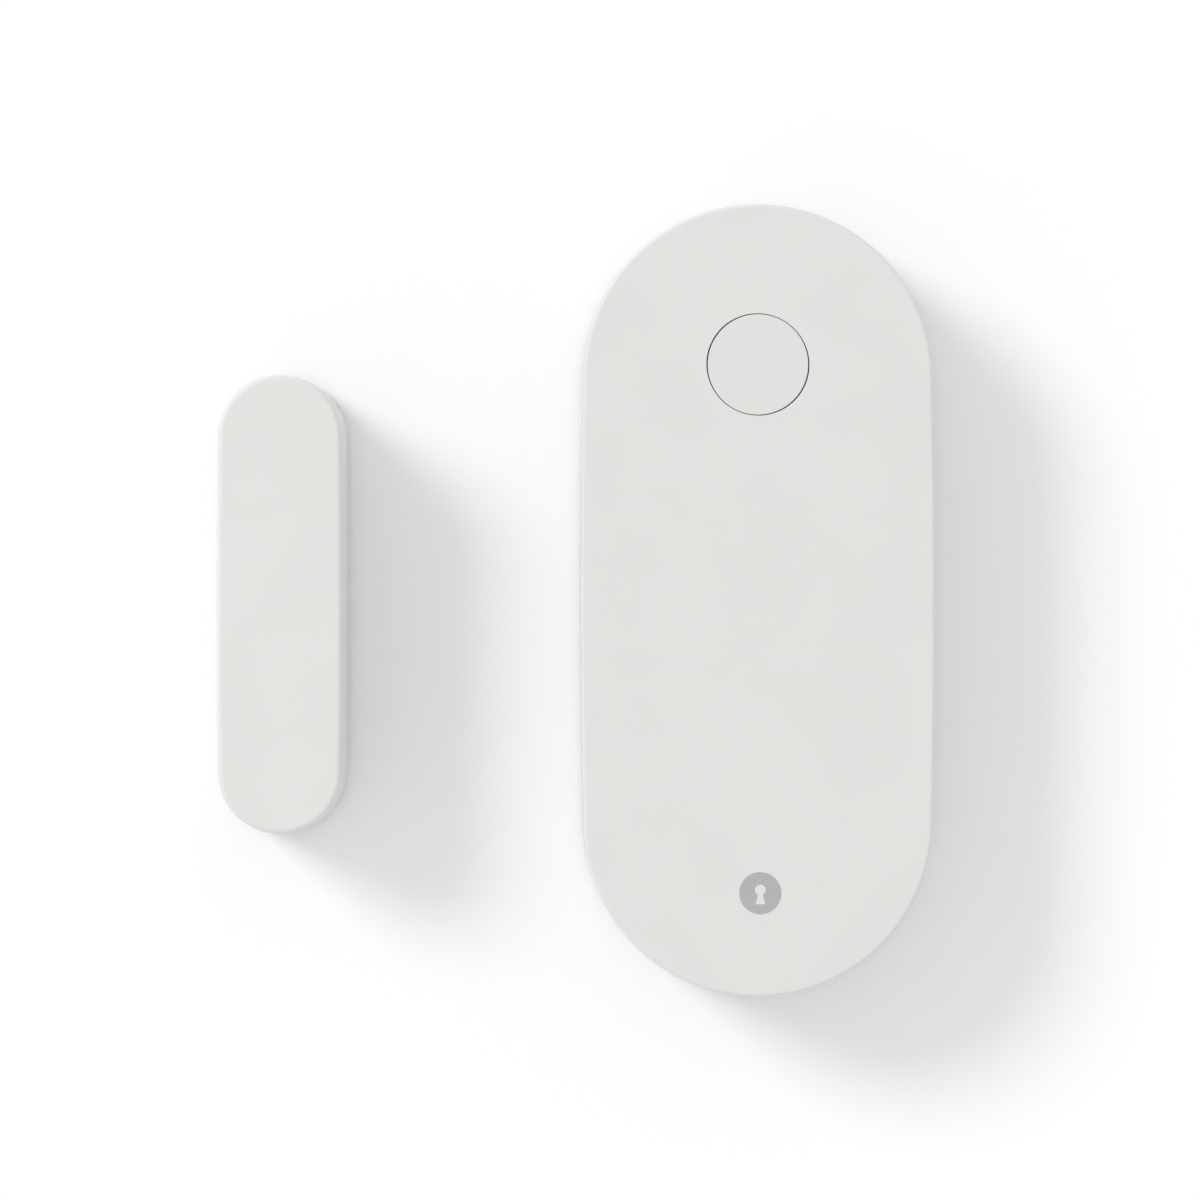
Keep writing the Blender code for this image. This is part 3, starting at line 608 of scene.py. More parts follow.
def tray_profile(wall, gap, lip, low, lip_top):
    chamfer = 0.2 * MM
    return [
        (chamfer + 0.05 * MM, low),
        *[(chamfer * (1 - math.sin(math.radians(15 * k))), low + chamfer * (1 - math.cos(math.radians(15 * k)))) for k in range(0, 7)],
        (0.0, PARTING_LOW - 0.12 * MM),
        (0.035 * MM, PARTING_LOW - 0.035 * MM),
        (0.12 * MM, PARTING_LOW),
        (wall + gap, PARTING_LOW),
        (wall + gap, lip_top - 0.3 * MM),
        (wall + gap + 0.3 * MM, lip_top),
        (wall + gap + lip - 0.1 * MM, lip_top),
        (wall + gap + lip, lip_top - 0.1 * MM),
        (wall + gap + lip, FLOOR_TOP + 0.3 * MM),
        (wall + gap + lip + 0.1 * MM, FLOOR_TOP + 0.1 * MM),
        (wall + gap + lip + 0.3 * MM, FLOOR_TOP),
    ]


bm = bmesh.new()
foot, inside = rings(bm, sensor, tray_profile(WALL, LIP_GAP, LIP, rear_low.z, rear_high.z))
bm.faces.new(foot)
bm.faces.new(inside)
rear = to_object(
    "rear_cover_tray", bm, rear_plastic, "sensor_base", replaces=("rear_cover",)
)

SCREW_Y = 28.2 * MM
SHELF = BOARD_BOTTOM - 0.05 * MM


def boss(sign):
    return lambda: turned_bm(
        [
            (0, SHELF), (2.25 * MM, SHELF), (2.37 * MM, SHELF - 0.04 * MM), (2.41 * MM, SHELF - 0.14 * MM),
            (2.68 * MM, FLOOR_TOP + 0.35 * MM), (2.8 * MM, FLOOR_TOP + 0.1 * MM),
            (3.05 * MM, FLOOR_TOP + 0.0 * MM), (3.05 * MM, FLOOR_TOP - 0.6 * MM), (0, FLOOR_TOP - 0.6 * MM),
        ],
        48, y=sign * SCREW_Y,
    )


def board_rest(sign):
    return lambda: box_bm(
        (sign * 10.6 * MM - 0.6 * MM, -4.0 * MM, FLOOR_TOP - 0.6 * MM),
        (sign * 10.6 * MM + 0.6 * MM, 4.0 * MM, SHELF), 0.15 * MM, 3,
    )


def snap_bead(side, y):
    x = side * ((rear_high.x - rear_low.x) / 2 - WALL - LIP_GAP - 0.34 * MM)
    return lambda: box_bm(
        (x - 0.35 * MM, (y - 2.5) * MM, 5.0 * MM), (x + 0.35 * MM, (y + 2.5) * MM, 5.5 * MM), 0.16 * MM, 3
    )


join_solid(
    rear,
    lambda: merged(
        boss(1), boss(-1), board_rest(1), board_rest(-1),
        *(snap_bead(side, y) for side in (-1, 1) for y in (-14, 14)),
    ),
)
join_solid(
    rear,
    lambda: merged(
        *(
            turned_bm(
                [
                    (0, 7.0 * MM), (1.5 * MM, 7.0 * MM), (1.5 * MM, SHELF + 0.3 * MM), (1.18 * MM, SHELF - 0.02 * MM),
                    (0.98 * MM, SHELF - 0.22 * MM), (0.98 * MM, FLOOR_TOP + 0.3 * MM), (0, FLOOR_TOP + 0.2 * MM),
                ],
                40, y=sign * SCREW_Y,
            )
            for sign in (1, -1)
        )
    ),
    "DIFFERENCE",
)

# --- Foam pads ----------------------------------------------------------------------------------


def foam_pad(name, outline, inset, low, high, body, node):
    """A die-cut pad of foam tape. The knife leaves its edge a little hollow."""
    bm = bmesh.new()
    thick = high - low
    foot, head = rings(
        bm,
        lambda i: outline(i + inset),
        [
            (0.25 * MM, low), (0.05 * MM, low), (0.0, low + 0.05 * MM), (0.03 * MM, low + thick * 0.25),
            (0.06 * MM, low + thick * 0.5), (0.03 * MM, low + thick * 0.75), (0.0, high - 0.05 * MM),
            (0.05 * MM, high), (0.25 * MM, high),
        ],
    )
    bm.faces.new(foot)
    bm.faces.new(head)
    pad = to_object(name, bm, pad_foam, body, replaces=(node,))
    return pad


pad_inset = (cover_high.x - cover_low.x) / 2 - pad_high.x
foam_pad("sensor_foam_pad", sensor, pad_inset, pad_low.z, pad_high.z, "sensor_base", "sensor_adhesive_pad")

# --- Magnet unit --------------------------------------------------------------------------------

bm = bmesh.new()
inner_edge, face_edge = rings(bm, magnet, cover_profile(1.2 * MM, 1.5 * MM, mcover_high.z, 0.46 * MM))
bm.faces.new(inner_edge)
bm.faces.new(face_edge)
bmesh.ops.translate(bm, verts=bm.verts[:], vec=(MAGNET_AT.x, MAGNET_AT.y, 0))
magnet_cover = to_object(
    "magnet_cover_shell", bm, magnet_plastic, "magnet_unit", replaces=("magnet_cover",)
)
join_solid(
    magnet_cover,
    lambda: merged(
        *(
            box_bm(
                (MAGNET_AT.x - 4.6 * MM, MAGNET_AT.y + y - 0.5 * MM, bar_high.z + 0.1 * MM),
                (MAGNET_AT.x + 4.6 * MM, MAGNET_AT.y + y + 0.5 * MM, mcover_high.z - 1.0 * MM),
                0.12 * MM,
            )
            for y in (-9 * MM, 9 * MM)
        )
    ),
)
bm = bmesh.new()
foot, inside = rings(bm, magnet, tray_profile(1.2 * MM, 0.2 * MM, 0.8 * MM, mbase_low.z, mbase_high.z))
bm.faces.new(foot)
bm.faces.new(inside)
bmesh.ops.translate(bm, verts=bm.verts[:], vec=(MAGNET_AT.x, MAGNET_AT.y, 0))
magnet_base = to_object(
    "magnet_base_tray", bm, rear_plastic, "magnet_unit", replaces=("magnet_base",)
)
join_solid(
    magnet_base,
    lambda: merged(
        *(
            box_bm(
                (MAGNET_AT.x - 1.6 * MM, MAGNET_AT.y + y - 0.5 * MM, FLOOR_TOP - 0.6 * MM),
                (MAGNET_AT.x + 1.6 * MM, MAGNET_AT.y + y + 0.5 * MM, 5.6 * MM),
                0.12 * MM,
            )
            for y in (-15.7 * MM, 15.7 * MM)
        )
    ),
)


def magnet_outline(inset):
    return [(MAGNET_AT.x + x, MAGNET_AT.y + y) for x, y in magnet(inset)]


mpad_inset = (mcover_high.x - mcover_low.x) / 2 - (mpad_high.x - mpad_low.x) / 2
foam_pad("magnet_foam_pad", magnet_outline, mpad_inset, mpad_low.z, mpad_high.z, "magnet_unit", "magnet_adhesive_pad")

to_object(
    "bar_magnet_plated", box_bm(bar_low, bar_high, 0.35 * MM, 5), magnet_nickel, "magnet_unit",
    replaces=("bar_magnet",),
)

# --- Inside the sensor: board, screws and soldered parts ----------------------------------------

BOARD = "sensor_base"


def boxes(name, pieces, material, replaces=(), body=BOARD):
    """Several small bevelled blocks as one piece: each is (low, high, edge) in millimetres."""
    bm = merged(
        *(
            (lambda low=low, high=high, edge=edge: box_bm(
                [v * MM for v in low], [v * MM for v in high], edge * MM, 2
            ))
            for low, high, edge in pieces
        )
    )
    return to_object(name, bm, material, body, replaces=replaces)


def turned_pieces(name, profile, places, material, steps=32, replaces=(), body=BOARD):
    bm = merged(
        *((lambda x=x, y=y, z=z: turned_bm(profile, steps, x=x, y=y, z=z)) for x, y, z in places)
    )
    return to_object(name, bm, material, body, replaces=replaces)


def cad_finish(material, *nodes):
    """Gives a carried-over CAD node its finished material."""
    for node in nodes:
        for each in frame["nodes"][node].material_slots:
            each.material = material


TOP_MM = BOARD_TOP / MM
cad_finish(board_mask, "circuit_board")
cad_finish(radio_mask, "radio_board")
cad_finish(spring_steel, "cell_positive_clip", "cell_negative_contact", "reed_lead_fixed", "reed_lead_sprung", "reed_blade", "switch_dome", "switch_frame")
cad_finish(black_resin, "cell_holder")
cad_finish(ivory_resin, "switch_plunger")
cad_finish(chip_resin, "radio_chip")

# Copper tracks under the solder mask, drawn as runs with 45 degree corners.


def track(bm, points, width, low, high):
    half = width / 2
    left, right = [], []
    n = len(points)
    for k, (x, y) in enumerate(points):
        before = Vector(points[k]) - Vector(points[k - 1]) if k else Vector(points[1]) - Vector(points[0])
        after = Vector(points[k + 1]) - Vector(points[k]) if k < n - 1 else before
        before, after = before.normalized(), after.normalized()
        way = (before + after).normalized()
        side = Vector((-way.y, way.x)) * half / max(0.5, way.dot(after))
        left.append((x + side.x, y + side.y))
        right.append((x - side.x, y - side.y))
    outline = left + right[::-1]
    ground = [bm.verts.new((x * MM, y * MM, low * MM)) for x, y in outline]
    roof = [bm.verts.new((x * MM, y * MM, high * MM)) for x, y in outline]
    m = len(outline)
    for k in range(m):
        bm.faces.new((ground[k], ground[(k + 1) % m], roof[(k + 1) % m], roof[k]))
    for k in range(n - 1):
        for ring in (ground, roof):
            bm.faces.new((ring[k], ring[k + 1], ring[m - 2 - k], ring[m - 1 - k]))


bm = bmesh.new()
for points, width in (
    ([(-11.5, 9.6), (-11.5, 16.2), (-10.3, 17.4), (-10.3, 20.4), (-9.6, 21.1), (-9.0, 21.1)], 0.3),
    ([(-11.5, -10.4), (-11.5, -20.6), (-9.9, -22.2), (-9.9, -22.6)], 0.3),
    ([(-9.0, -22.9), (-7.1, -23.3), (-6.6, -23.8)], 0.4),
    ([(-7.0, 19.1), (-5.8, 19.1), (-5.3, 18.6), (-4.7, 18.6)], 0.3),
    ([(-7.0, 23.1), (-5.0, 23.1)], 0.3),
    ([(-9.0, 19.1), (-11.0, 19.1), (-11.6, 18.5), (-11.6, 17.4)], 0.25),
    ([(5.0, 23.1), (5.8, 23.1), (6.2, 22.7), (6.2, 21.9)], 0.3),
    ([(8.6, 20.8), (10.2, 20.8), (11.2, 19.8), (11.2, 4.6), (10.6, 4.0), (10.6, 3.2)], 0.4),
    ([(9.6, 6.5), (11.2, 6.5)], 0.25),
    ([(9.6, 9.5), (11.2, 9.5)], 0.25),
    ([(1.2, 4.4), (1.2, 2.9)], 0.8),
    ([(3.2, -22.3), (3.2, -25.2), (3.9, -25.2)], 0.5),
    ([(8.6, -25.2), (9.6, -25.2), (10.4, -24.4), (10.4, -23.6)], 0.5),
    ([(-4.2, -24.9), (-3.2, -24.3), (-2.8, -23.9)], 0.4),
    ([(-1.8, -23.6), (0.6, -23.6), (1.2, -23.0), (1.2, -22.0)], 0.4),
    ([(-8.6, 5.6), (-9.6, 5.6), (-10.2, 6.2), (-10.2, 10.9)], 0.25),
    ([(-8.6, 8.0), (-9.4, 8.0), (-9.8, 8.4), (-9.8, 11.0)], 0.25),
    ([(-10.4, 13.1), (-10.4, 14.4), (-9.6, 15.2), (-8.4, 15.2)], 0.25),
    ([(-3.2, 25.6), (-3.2, 24.6)], 0.3),
    ([(3.4, 25.8), (3.4, 24.6)], 0.3),
):
    track(bm, points, width, TOP_MM - 0.01, TOP_MM + 0.022)
to_object("board_tracks", bm, track_mask, BOARD)

# Chip resistors and capacitors: body, plated ends, and the solder that wets them.
CHIPS = (
    # x, y, along X, body height
    (-8.0, 19.1, True, 0.42), (-8.0, 21.1, True, 0.42), (-8.0, 23.1, True, 0.72),
    (7.2, 18.0, True, 0.42), (7.2, 23.8, True, 0.42), (-3.2, 26.6, False, 0.42), (3.4, 26.8, False, 0.72),
    (-9.9, -23.5, False, 0.42), (-2.3, -23.6, True, 0.72), (1.6, -24.6, False, 0.42), (-3.4, -28.2, True, 0.42),
    (10.4, -22.8, False, 0.42), (10.9, 6.5, True, 0.42), (10.9, 9.5, True, 0.42), (-10.2, 12.0, False, 0.42),
)
bodies, ends, lands = [], [], []
for x, y, along, height in CHIPS:
    hl, hw = 0.8, 0.4

    def placed(a0, a1, b0, b1, z0, z1, edge):
        if along:
            return ((x + a0, y + b0, z0), (x + a1, y + b1, z1), edge)
        return ((x + b0, y + a0, z0), (x + b1, y + a1, z1), edge)

    z = TOP_MM + 0.05
    bodies.append(placed(-hl + 0.28, hl - 0.28, -hw + 0.02, hw - 0.02, z + 0.02, z + height - 0.02, 0.03))
    for sign in (-1, 1):
        a0, a1 = sorted((sign * (hl - 0.3), sign * hl))
        ends.append(placed(a0, a1, -hw, hw, z, z + height, 0.06))
        b0, b1 = sorted((sign * (hl - 0.4), sign * (hl + 0.3)))
        lands.append(placed(b0, b1, -hw - 0.06, hw + 0.06, TOP_MM - 0.01, TOP_MM + 0.045, 0.02))
boxes("chip_part_bodies", bodies, chip_resin)
boxes("chip_part_ends", ends, solder)

# Lands for the switch, lamp, capacitor, regulator and clip.
by = BUTTON_Y / MM
for sx in (-1, 1):
    for sy in (-2.25, 2.25):
        lands.append(((min(sx * 3.2, sx * 4.9), by + sy - 0.55, TOP_MM - 0.01), (max(sx * 3.2, sx * 4.9), by + sy + 0.55, TOP_MM + 0.03), 0.01))
lands += [
    ((5.9, by - 0.6, TOP_MM - 0.01), (6.5, by + 0.6, TOP_MM + 0.03), 0.01),
    ((7.9, by - 0.6, TOP_MM - 0.01), (8.5, by + 0.6, TOP_MM + 0.03), 0.01),
    ((3.6, -25.8, TOP_MM - 0.01), (5.4, -24.6, TOP_MM + 0.03), 0.01),
    ((7.0, -25.8, TOP_MM - 0.01), (8.8, -24.6, TOP_MM + 0.03), 0.01),
    ((-2.2, 2.7, TOP_MM - 0.01), (4.6, 4.3, TOP_MM + 0.03), 0.01),
]
for k, (x, side) in enumerate(((-7.1, -1), (-6.1, 1), (-5.1, -1))):
    low, high = sorted((-25.1 + side * 0.9, -25.1 + side * 1.9))
    lands.append(((x - 0.4, low, TOP_MM - 0.01), (x + 0.4, high, TOP_MM + 0.03), 0.01))
boxes("board_lands", lands, gold_plate)

# Test points and plated vias, as small flat rings.
vias = [
    (-5.0, -23.0), (-0.6, -26.0), (4.9, 17.2), (-11.6, 17.2), (11.2, 3.0), (8.4, -22.6), (-10.6, -24.9), (-9.0, 25.0),
    (9.4, 25.2), (0.0, 24.9), (-6.0, 26.6), (6.2, 27.0), (7.6, -28.0), (-7.8, -27.4), (2.6, -29.0), (10.3, 17.6),
]
turned_pieces(
    "board_vias",
    [(0.16 * MM, -0.1 * MM), (0.16 * MM, 0.028 * MM), (0.3 * MM, 0.028 * MM), (0.34 * MM, 0.015 * MM), (0.34 * MM, -0.1 * MM)],
    [(x * MM, y * MM, BOARD_TOP) for x, y in vias],
    gold_plate, steps=20,
)

# Solder: cones round the reed's leads, and toes on the switch and clip feet.
reed_x = -11.5 * MM
lead_y = [(-0.35 - 9.2) * MM, (-0.35 + 9.2) * MM]
turned_pieces(
    "lead_solder_upper",
    [(0.262 * MM, 0.62 * MM), (0.33 * MM, 0.34 * MM), (0.46 * MM, 0.17 * MM), (0.68 * MM, 0.06 * MM), (0.8 * MM, 0.0), (0.8 * MM, -0.02 * MM), (0.262 * MM, -0.02 * MM)],
    [(reed_x, y, BOARD_TOP + 0.002 * MM) for y in lead_y], solder,
)
turned_pieces(
    "lead_solder_lower",
    [(0.262 * MM, -0.02 * MM), (0.8 * MM, -0.02 * MM), (0.8 * MM, 0.02 * MM), (0.68 * MM, 0.07 * MM), (0.46 * MM, 0.19 * MM), (0.33 * MM, 0.34 * MM), (0.262 * MM, 0.5 * MM)],
    [(reed_x, y, 0) for y in lead_y], solder,
)
lower = bpy.data.objects["lead_solder_lower"]
for v in lower.data.vertices:
    v.co.z = BOARD_BOTTOM - v.co.z
lower.data.flip_normals()

# Tact switch: body, and the four feet of its lead frame.
body_low, body_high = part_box("switch_body")
bx = 3.1
switch = to_object(
    "switch_body_moulded",
    box_bm((-bx * MM, BUTTON_Y - bx * MM, body_low.z + 0.02 * MM), (bx * MM, BUTTON_Y + bx * MM, body_high.z), 0.22 * MM, 3, upright=True),
    black_resin, BOARD, replaces=("switch_body",),
)
join_solid(switch, lambda: turned_bm([(0, 10.5 * MM), (2.75 * MM, 10.5 * MM), (2.62 * MM, body_high.z + 0.02 * MM), (2.45 * MM, body_high.z - 0.15 * MM), (2.45 * MM, 7.55 * MM), (0, 7.55 * MM)], 48, y=BUTTON_Y), "DIFFERENCE")
feet, toes = [], []
for sx in (-1, 1):
    for sy in (-2.25, 2.25):
        x0, x1 = sorted((sx * 2.9, sx * 4.3))
        feet.append(((x0, by + sy - 0.35, TOP_MM + 0.05), (x1, by + sy + 0.35, TOP_MM + 0.28), 0.05))
        t0, t1 = sorted((sx * 3.5, sx * 4.62))
        toes.append(((t0, by + sy - 0.48, TOP_MM + 0.01), (t1, by + sy + 0.48, TOP_MM + 0.2), 0.09))
boxes("switch_feet", feet, spring_steel)
toes += [((-1.9, 3.0, TOP_MM + 0.01), (4.3, 4.15, TOP_MM + 0.16), 0.07)]
boxes("solder_toes", toes, solder)

# Board screws: pan head with a cross recess, and a coarse thread on the shank.
for end, sign in (("top", 1), ("bottom", -1)):
    seat = BOARD_TOP + 0.05 * MM
    profile = [
        (0, 1.45), (0.6, 1.43), (1.1, 1.34), (1.5, 1.17), (1.75, 0.95), (1.9, 0.68), (1.95, 0.42),
        (1.95, 0.08), (1.9, 0.0), (0.86, 0.0),
    ]
    turn = 0.0
    while turn > -2.5:
        profile += [(0.70, turn - 0.18), (0.72, turn - 0.26), (0.88, turn - 0.4), (0.88, turn - 0.44)]
        turn -= 0.5
    profile += [(0.7, -2.72), (0.3, -3.15), (0, -3.2)]
    screw = to_object(
        f"board_screw_{end}_threaded",
        turned_bm([(r * MM, z * MM) for r, z in profile], 48, y=sign * SCREW_Y, z=seat),
        zinc_steel, BOARD, replaces=(f"board_screw_{end}",),
    )
    join_solid(
        screw,
        lambda: merged(
            lambda: box_bm((-1.1 * MM, sign * SCREW_Y - 0.24 * MM, seat + 0.7 * MM), (1.1 * MM, sign * SCREW_Y + 0.24 * MM, seat + 2.5 * MM), 0.05 * MM),
        ),
        "DIFFERENCE",
    )
    join_solid(
        screw,
        lambda: merged(
            lambda: box_bm((-0.24 * MM, sign * SCREW_Y - 1.1 * MM, seat + 0.7 * MM), (0.24 * MM, sign * SCREW_Y + 1.1 * MM, seat + 2.5 * MM), 0.05 * MM),
        ),
        "DIFFERENCE",
    )

# Coin cell: a drawn can with a rolled lip, its gasket, and the cap below.
cell_low, cell_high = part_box("coin_cell")
cell_x, cell_y = (cell_low.x + cell_high.x) / 2, (cell_low.y + cell_high.y) / 2
cr, ch = (cell_high.x - cell_low.x) / 2, cell_high.z - cell_low.z
can = [(0, ch), (cr - 1.5 * MM, ch), (cr - 1.35 * MM, ch - 0.03 * MM), (cr - 1.25 * MM, ch - 0.03 * MM), (cr - 1.1 * MM, ch)]
can += [(cr - 0.42 * MM + 0.42 * MM * math.sin(math.radians(15 * k)), ch - 0.42 * MM * (1 - math.cos(math.radians(15 * k)))) for k in range(7)]
can += [(cr, 0.62 * MM), (cr - 0.06 * MM, 0.48 * MM), (cr - 0.25 * MM, 0.36 * MM), (cr - 0.55 * MM, 0.32 * MM), (cr - 0.8 * MM, 0.34 * MM), (cr - 0.8 * MM, 0.5 * MM), (0, 0.5 * MM)]
to_object("coin_cell_can", turned_bm(can, 96, x=cell_x, y=cell_y, z=cell_low.z), cell_steel, BOARD, replaces=("coin_cell",))
to_object(
    "coin_cell_gasket",
    turned_bm([(cr - 1.15 * MM, 0.5 * MM), (cr - 0.82 * MM, 0.5 * MM), (cr - 0.82 * MM, 0.27 * MM), (cr - 1.0 * MM, 0.24 * MM), (cr - 1.15 * MM, 0.27 * MM)], 96, x=cell_x, y=cell_y, z=cell_low.z, closed=True),
    seal_resin, BOARD,
)
to_object(
    "coin_cell_cap",
    turned_bm([(0, 0.49 * MM), (cr - 1.17 * MM, 0.49 * MM), (cr - 1.17 * MM, 0.2 * MM), (cr - 1.25 * MM, 0.06 * MM), (cr - 1.4 * MM, 0.0), (0, 0.0)], 96, x=cell_x, y=cell_y, z=cell_low.z),
    cell_steel, BOARD,
)

# Bulk capacitor: aluminium can on a chamfered base, with its polarity band.
cap_low, cap_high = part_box("bulk_capacitor")
cap_x, cap_y = (cap_low.x + cap_high.x) / 2, (cap_low.y + cap_high.y) / 2
cap_r, cap_h = (cap_high.x - cap_low.x) / 2, cap_high.z - cap_low.z
profile = [(0, cap_h), (cap_r - 0.45 * MM, cap_h)]
profile += [(cap_r - 0.3 * MM + 0.28 * MM * math.sin(math.radians(18 * k)), cap_h - 0.28 * MM * (1 - math.cos(math.radians(18 * k)))) for k in range(6)]
profile += [(cap_r - 0.02 * MM, 1.75 * MM), (cap_r - 0.12 * MM, 1.6 * MM), (cap_r - 0.17 * MM, 1.45 * MM), (cap_r - 0.12 * MM, 1.3 * MM), (cap_r - 0.02 * MM, 1.15 * MM), (cap_r - 0.02 * MM, 0.75 * MM), (0, 0.75 * MM)]
to_object("capacitor_can", turned_bm(profile, 64, x=cap_x, y=cap_y, z=cap_low.z), can_aluminium, BOARD, replaces=("bulk_capacitor",))
base_z = cap_low.z
bm = bmesh.new()
cut = 0.7 * MM
square = [(-cap_r, -cap_r), (cap_r - cut, -cap_r), (cap_r, -cap_r + cut), (cap_r, cap_r - cut), (cap_r - cut, cap_r), (-cap_r, cap_r)]
ground, roof = ([bm.verts.new((cap_x + x, cap_y + y, z)) for x, y in square] for z in (base_z + 0.02 * MM, base_z + 0.74 * MM))
for k in range(6):
    bm.faces.new((ground[k], ground[(k + 1) % 6], roof[(k + 1) % 6], roof[k]))
bm.faces.new(ground)
bm.faces.new(roof)
bmesh.ops.bevel(bm, geom=bm.edges[:], offset=0.05 * MM, segments=2, affect="EDGES")
to_object("capacitor_base", bm, black_resin, BOARD)
bm = bmesh.new()
angles = [math.pi - 0.95 + 1.9 * k / 16 for k in range(17)]
arc_points = [(cap_r * 0.84 * math.cos(a), cap_r * 0.84 * math.sin(a)) for a in angles]
ground, roof = ([bm.verts.new((cap_x + x, cap_y + y, cap_high.z + z)) for x, y in arc_points] for z in (-0.004 * MM, 0.008 * MM))
for k in range(17):
    bm.faces.new((ground[k], ground[(k + 1) % 17], roof[(k + 1) % 17], roof[k]))
bm.faces.new(ground)
bm.faces.new(roof)
to_object("capacitor_polarity_band", bm, band_ink, BOARD)

# Regulator: moulded body and three gull-wing legs.
boxes("regulator_body", [((-7.6, -25.9, TOP_MM + 0.15), (-4.6, -24.3, TOP_MM + 1.15), 0.12)], chip_resin, replaces=("regulator_chip",))
legs = []
for x, side in ((-7.1, -1), (-6.1, 1), (-5.1, -1)):
    y0 = -25.1 + side * 0.74
    low, high = sorted((y0, y0 + side * 0.4))
    legs.append(((x - 0.2, low, TOP_MM + 0.5), (x + 0.2, high, TOP_MM + 0.62), 0.03))
    low, high = sorted((y0 + side * 0.3, y0 + side * 0.42))
    legs.append(((x - 0.2, low, TOP_MM + 0.06), (x + 0.2, high, TOP_MM + 0.6), 0.03))
    low, high = sorted((y0 + side * 0.34, y0 + side * 0.75))
    legs.append(((x - 0.2, low, TOP_MM + 0.05), (x + 0.2, high, TOP_MM + 0.16), 0.03))
boxes("regulator_legs", legs, spring_steel)

# Status lamp: reflector cup, lens and end lands.
led_low, led_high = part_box("status_led")
lx, ly = (led_low.x + led_high.x) / 2 / MM, (led_low.y + led_high.y) / 2 / MM
lz = led_low.z / MM
lamp = boxes("led_reflector", [((lx - 0.95, ly - 0.64, lz + 0.02), (lx + 0.95, ly + 0.64, lz + 0.72), 0.06)], lamp_resin, replaces=("status_led",))
join_solid(lamp, lambda: turned_bm([(0, (lz + 1.2) * MM), (0.52 * MM, (lz + 1.2) * MM), (0.52 * MM, (lz + 0.72) * MM), (0.4 * MM, (lz + 0.3) * MM), (0, (lz + 0.3) * MM)], 40, x=lx * MM, y=ly * MM), "DIFFERENCE")
to_object("led_lens", turned_bm([(0, 0.87 * MM), (0.18 * MM, 0.85 * MM), (0.34 * MM, 0.79 * MM), (0.45 * MM, 0.7 * MM), (0.49 * MM, 0.62 * MM), (0.39 * MM, 0.33 * MM), (0, 0.33 * MM)], 40, x=lx * MM, y=ly * MM, z=lz * MM), lens_resin, BOARD)

# Radio module: edge lands and their solder, pressed shield with vents, ceramic antenna.
radio_low, radio_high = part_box("radio_board")
rz = radio_high.z / MM
edge_lands = []
for k in range(11):
    x = -5.75 + 1.27 * k
    for side, y in ((-1, radio_low.y / MM), (1, radio_high.y / MM)):
        low, high = sorted((y - side * 0.72, y + side * 0.01))
        edge_lands.append(((x - 0.36, low, rz - 0.02), (x + 0.36, high, rz + 0.018), 0.008))
        low, high = sorted((y - side * 0.02, y + side * 0.03))
        edge_lands.append(((x - 0.3, low, rz - 0.76), (x + 0.3, high, rz + 0.0), 0.008))
boxes("radio_edge_lands", edge_lands, gold_plate)
boxes("radio_module_solder", [((-5.75 + 1.27 * k - 0.34, min(y + side * 0.02, y + side * 0.4), TOP_MM + 0.0), (-5.75 + 1.27 * k + 0.34, max(y + side * 0.02, y + side * 0.4), TOP_MM + 0.3), 0.1) for k in range(11) for side, y in ((-1, radio_low.y / MM), (1, radio_high.y / MM))], solder)
sh_low, sh_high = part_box("radio_shield")
shield_at = (sh_low + sh_high) / 2


def rounded_box(half_x, half_y, radius, steps=6):
    def at(inset):
        r = max(radius - inset, 0.02 * MM)
        points = []
        for quarter, (cx, cy) in enumerate(((1, 1), (-1, 1), (-1, -1), (1, -1))):
            for k in range(steps + 1):
                a = math.pi / 2 * (quarter + k / steps)
                points.append((shield_at.x + cx * (half_x - inset - r) + r * math.cos(a), shield_at.y + cy * (half_y - inset - r) + r * math.sin(a)))
        return points

    return at


bm = bmesh.new()
hx, hy = (sh_high.x - sh_low.x) / 2, (sh_high.y - sh_low.y) / 2
inner, outer = rings(
    bm, rounded_box(hx, hy, 0.45 * MM),
    [
        (0.42 * MM, sh_high.z - 0.2 * MM), (0.26 * MM, sh_high.z - 0.24 * MM), (0.2 * MM, sh_high.z - 0.4 * MM), (0.2 * MM, sh_low.z),
        (0.0, sh_low.z), (0.0, sh_high.z - 0.38 * MM), (0.04 * MM, sh_high.z - 0.19 * MM), (0.12 * MM, sh_high.z - 0.08 * MM), (0.24 * MM, sh_high.z - 0.02 * MM), (0.42 * MM, sh_high.z),
    ],
)
bm.faces.new(inner)
bm.faces.new(outer)
shield = to_object("radio_shield_pressed", bm, shield_steel, BOARD, replaces=("radio_shield",))
vents = [(shield_at.x + i * 1.5 * MM, shield_at.y + j * 1.5 * MM) for i in (-3, -2, 2, 3) for j in (-2, -1, 0, 1, 2)]
join_solid(
    shield,
    lambda: merged(*((lambda x=x, y=y: turned_bm([(0, sh_high.z + 0.5 * MM), (0.3 * MM, sh_high.z + 0.5 * MM), (0.3 * MM, sh_high.z - 0.5 * MM), (0, sh_high.z - 0.5 * MM)], 20, x=x, y=y)) for x, y in vents)),
    "DIFFERENCE",
)
ant_low, ant_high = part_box("radio_antenna")
a0, a1 = ant_low / MM, ant_high / MM
boxes("antenna_ceramic_block", [((a0.x, a0.y + 0.45, a0.z + 0.01), (a1.x, a1.y - 0.45, a1.z), 0.06)], antenna_ceramic, replaces=("radio_antenna",))
boxes("antenna_terminals", [((a0.x, a0.y, a0.z), (a1.x, a0.y + 0.5, a1.z + 0.0), 0.08), ((a0.x, a1.y - 0.5, a0.z), (a1.x, a1.y, a1.z + 0.0), 0.08)], solder)

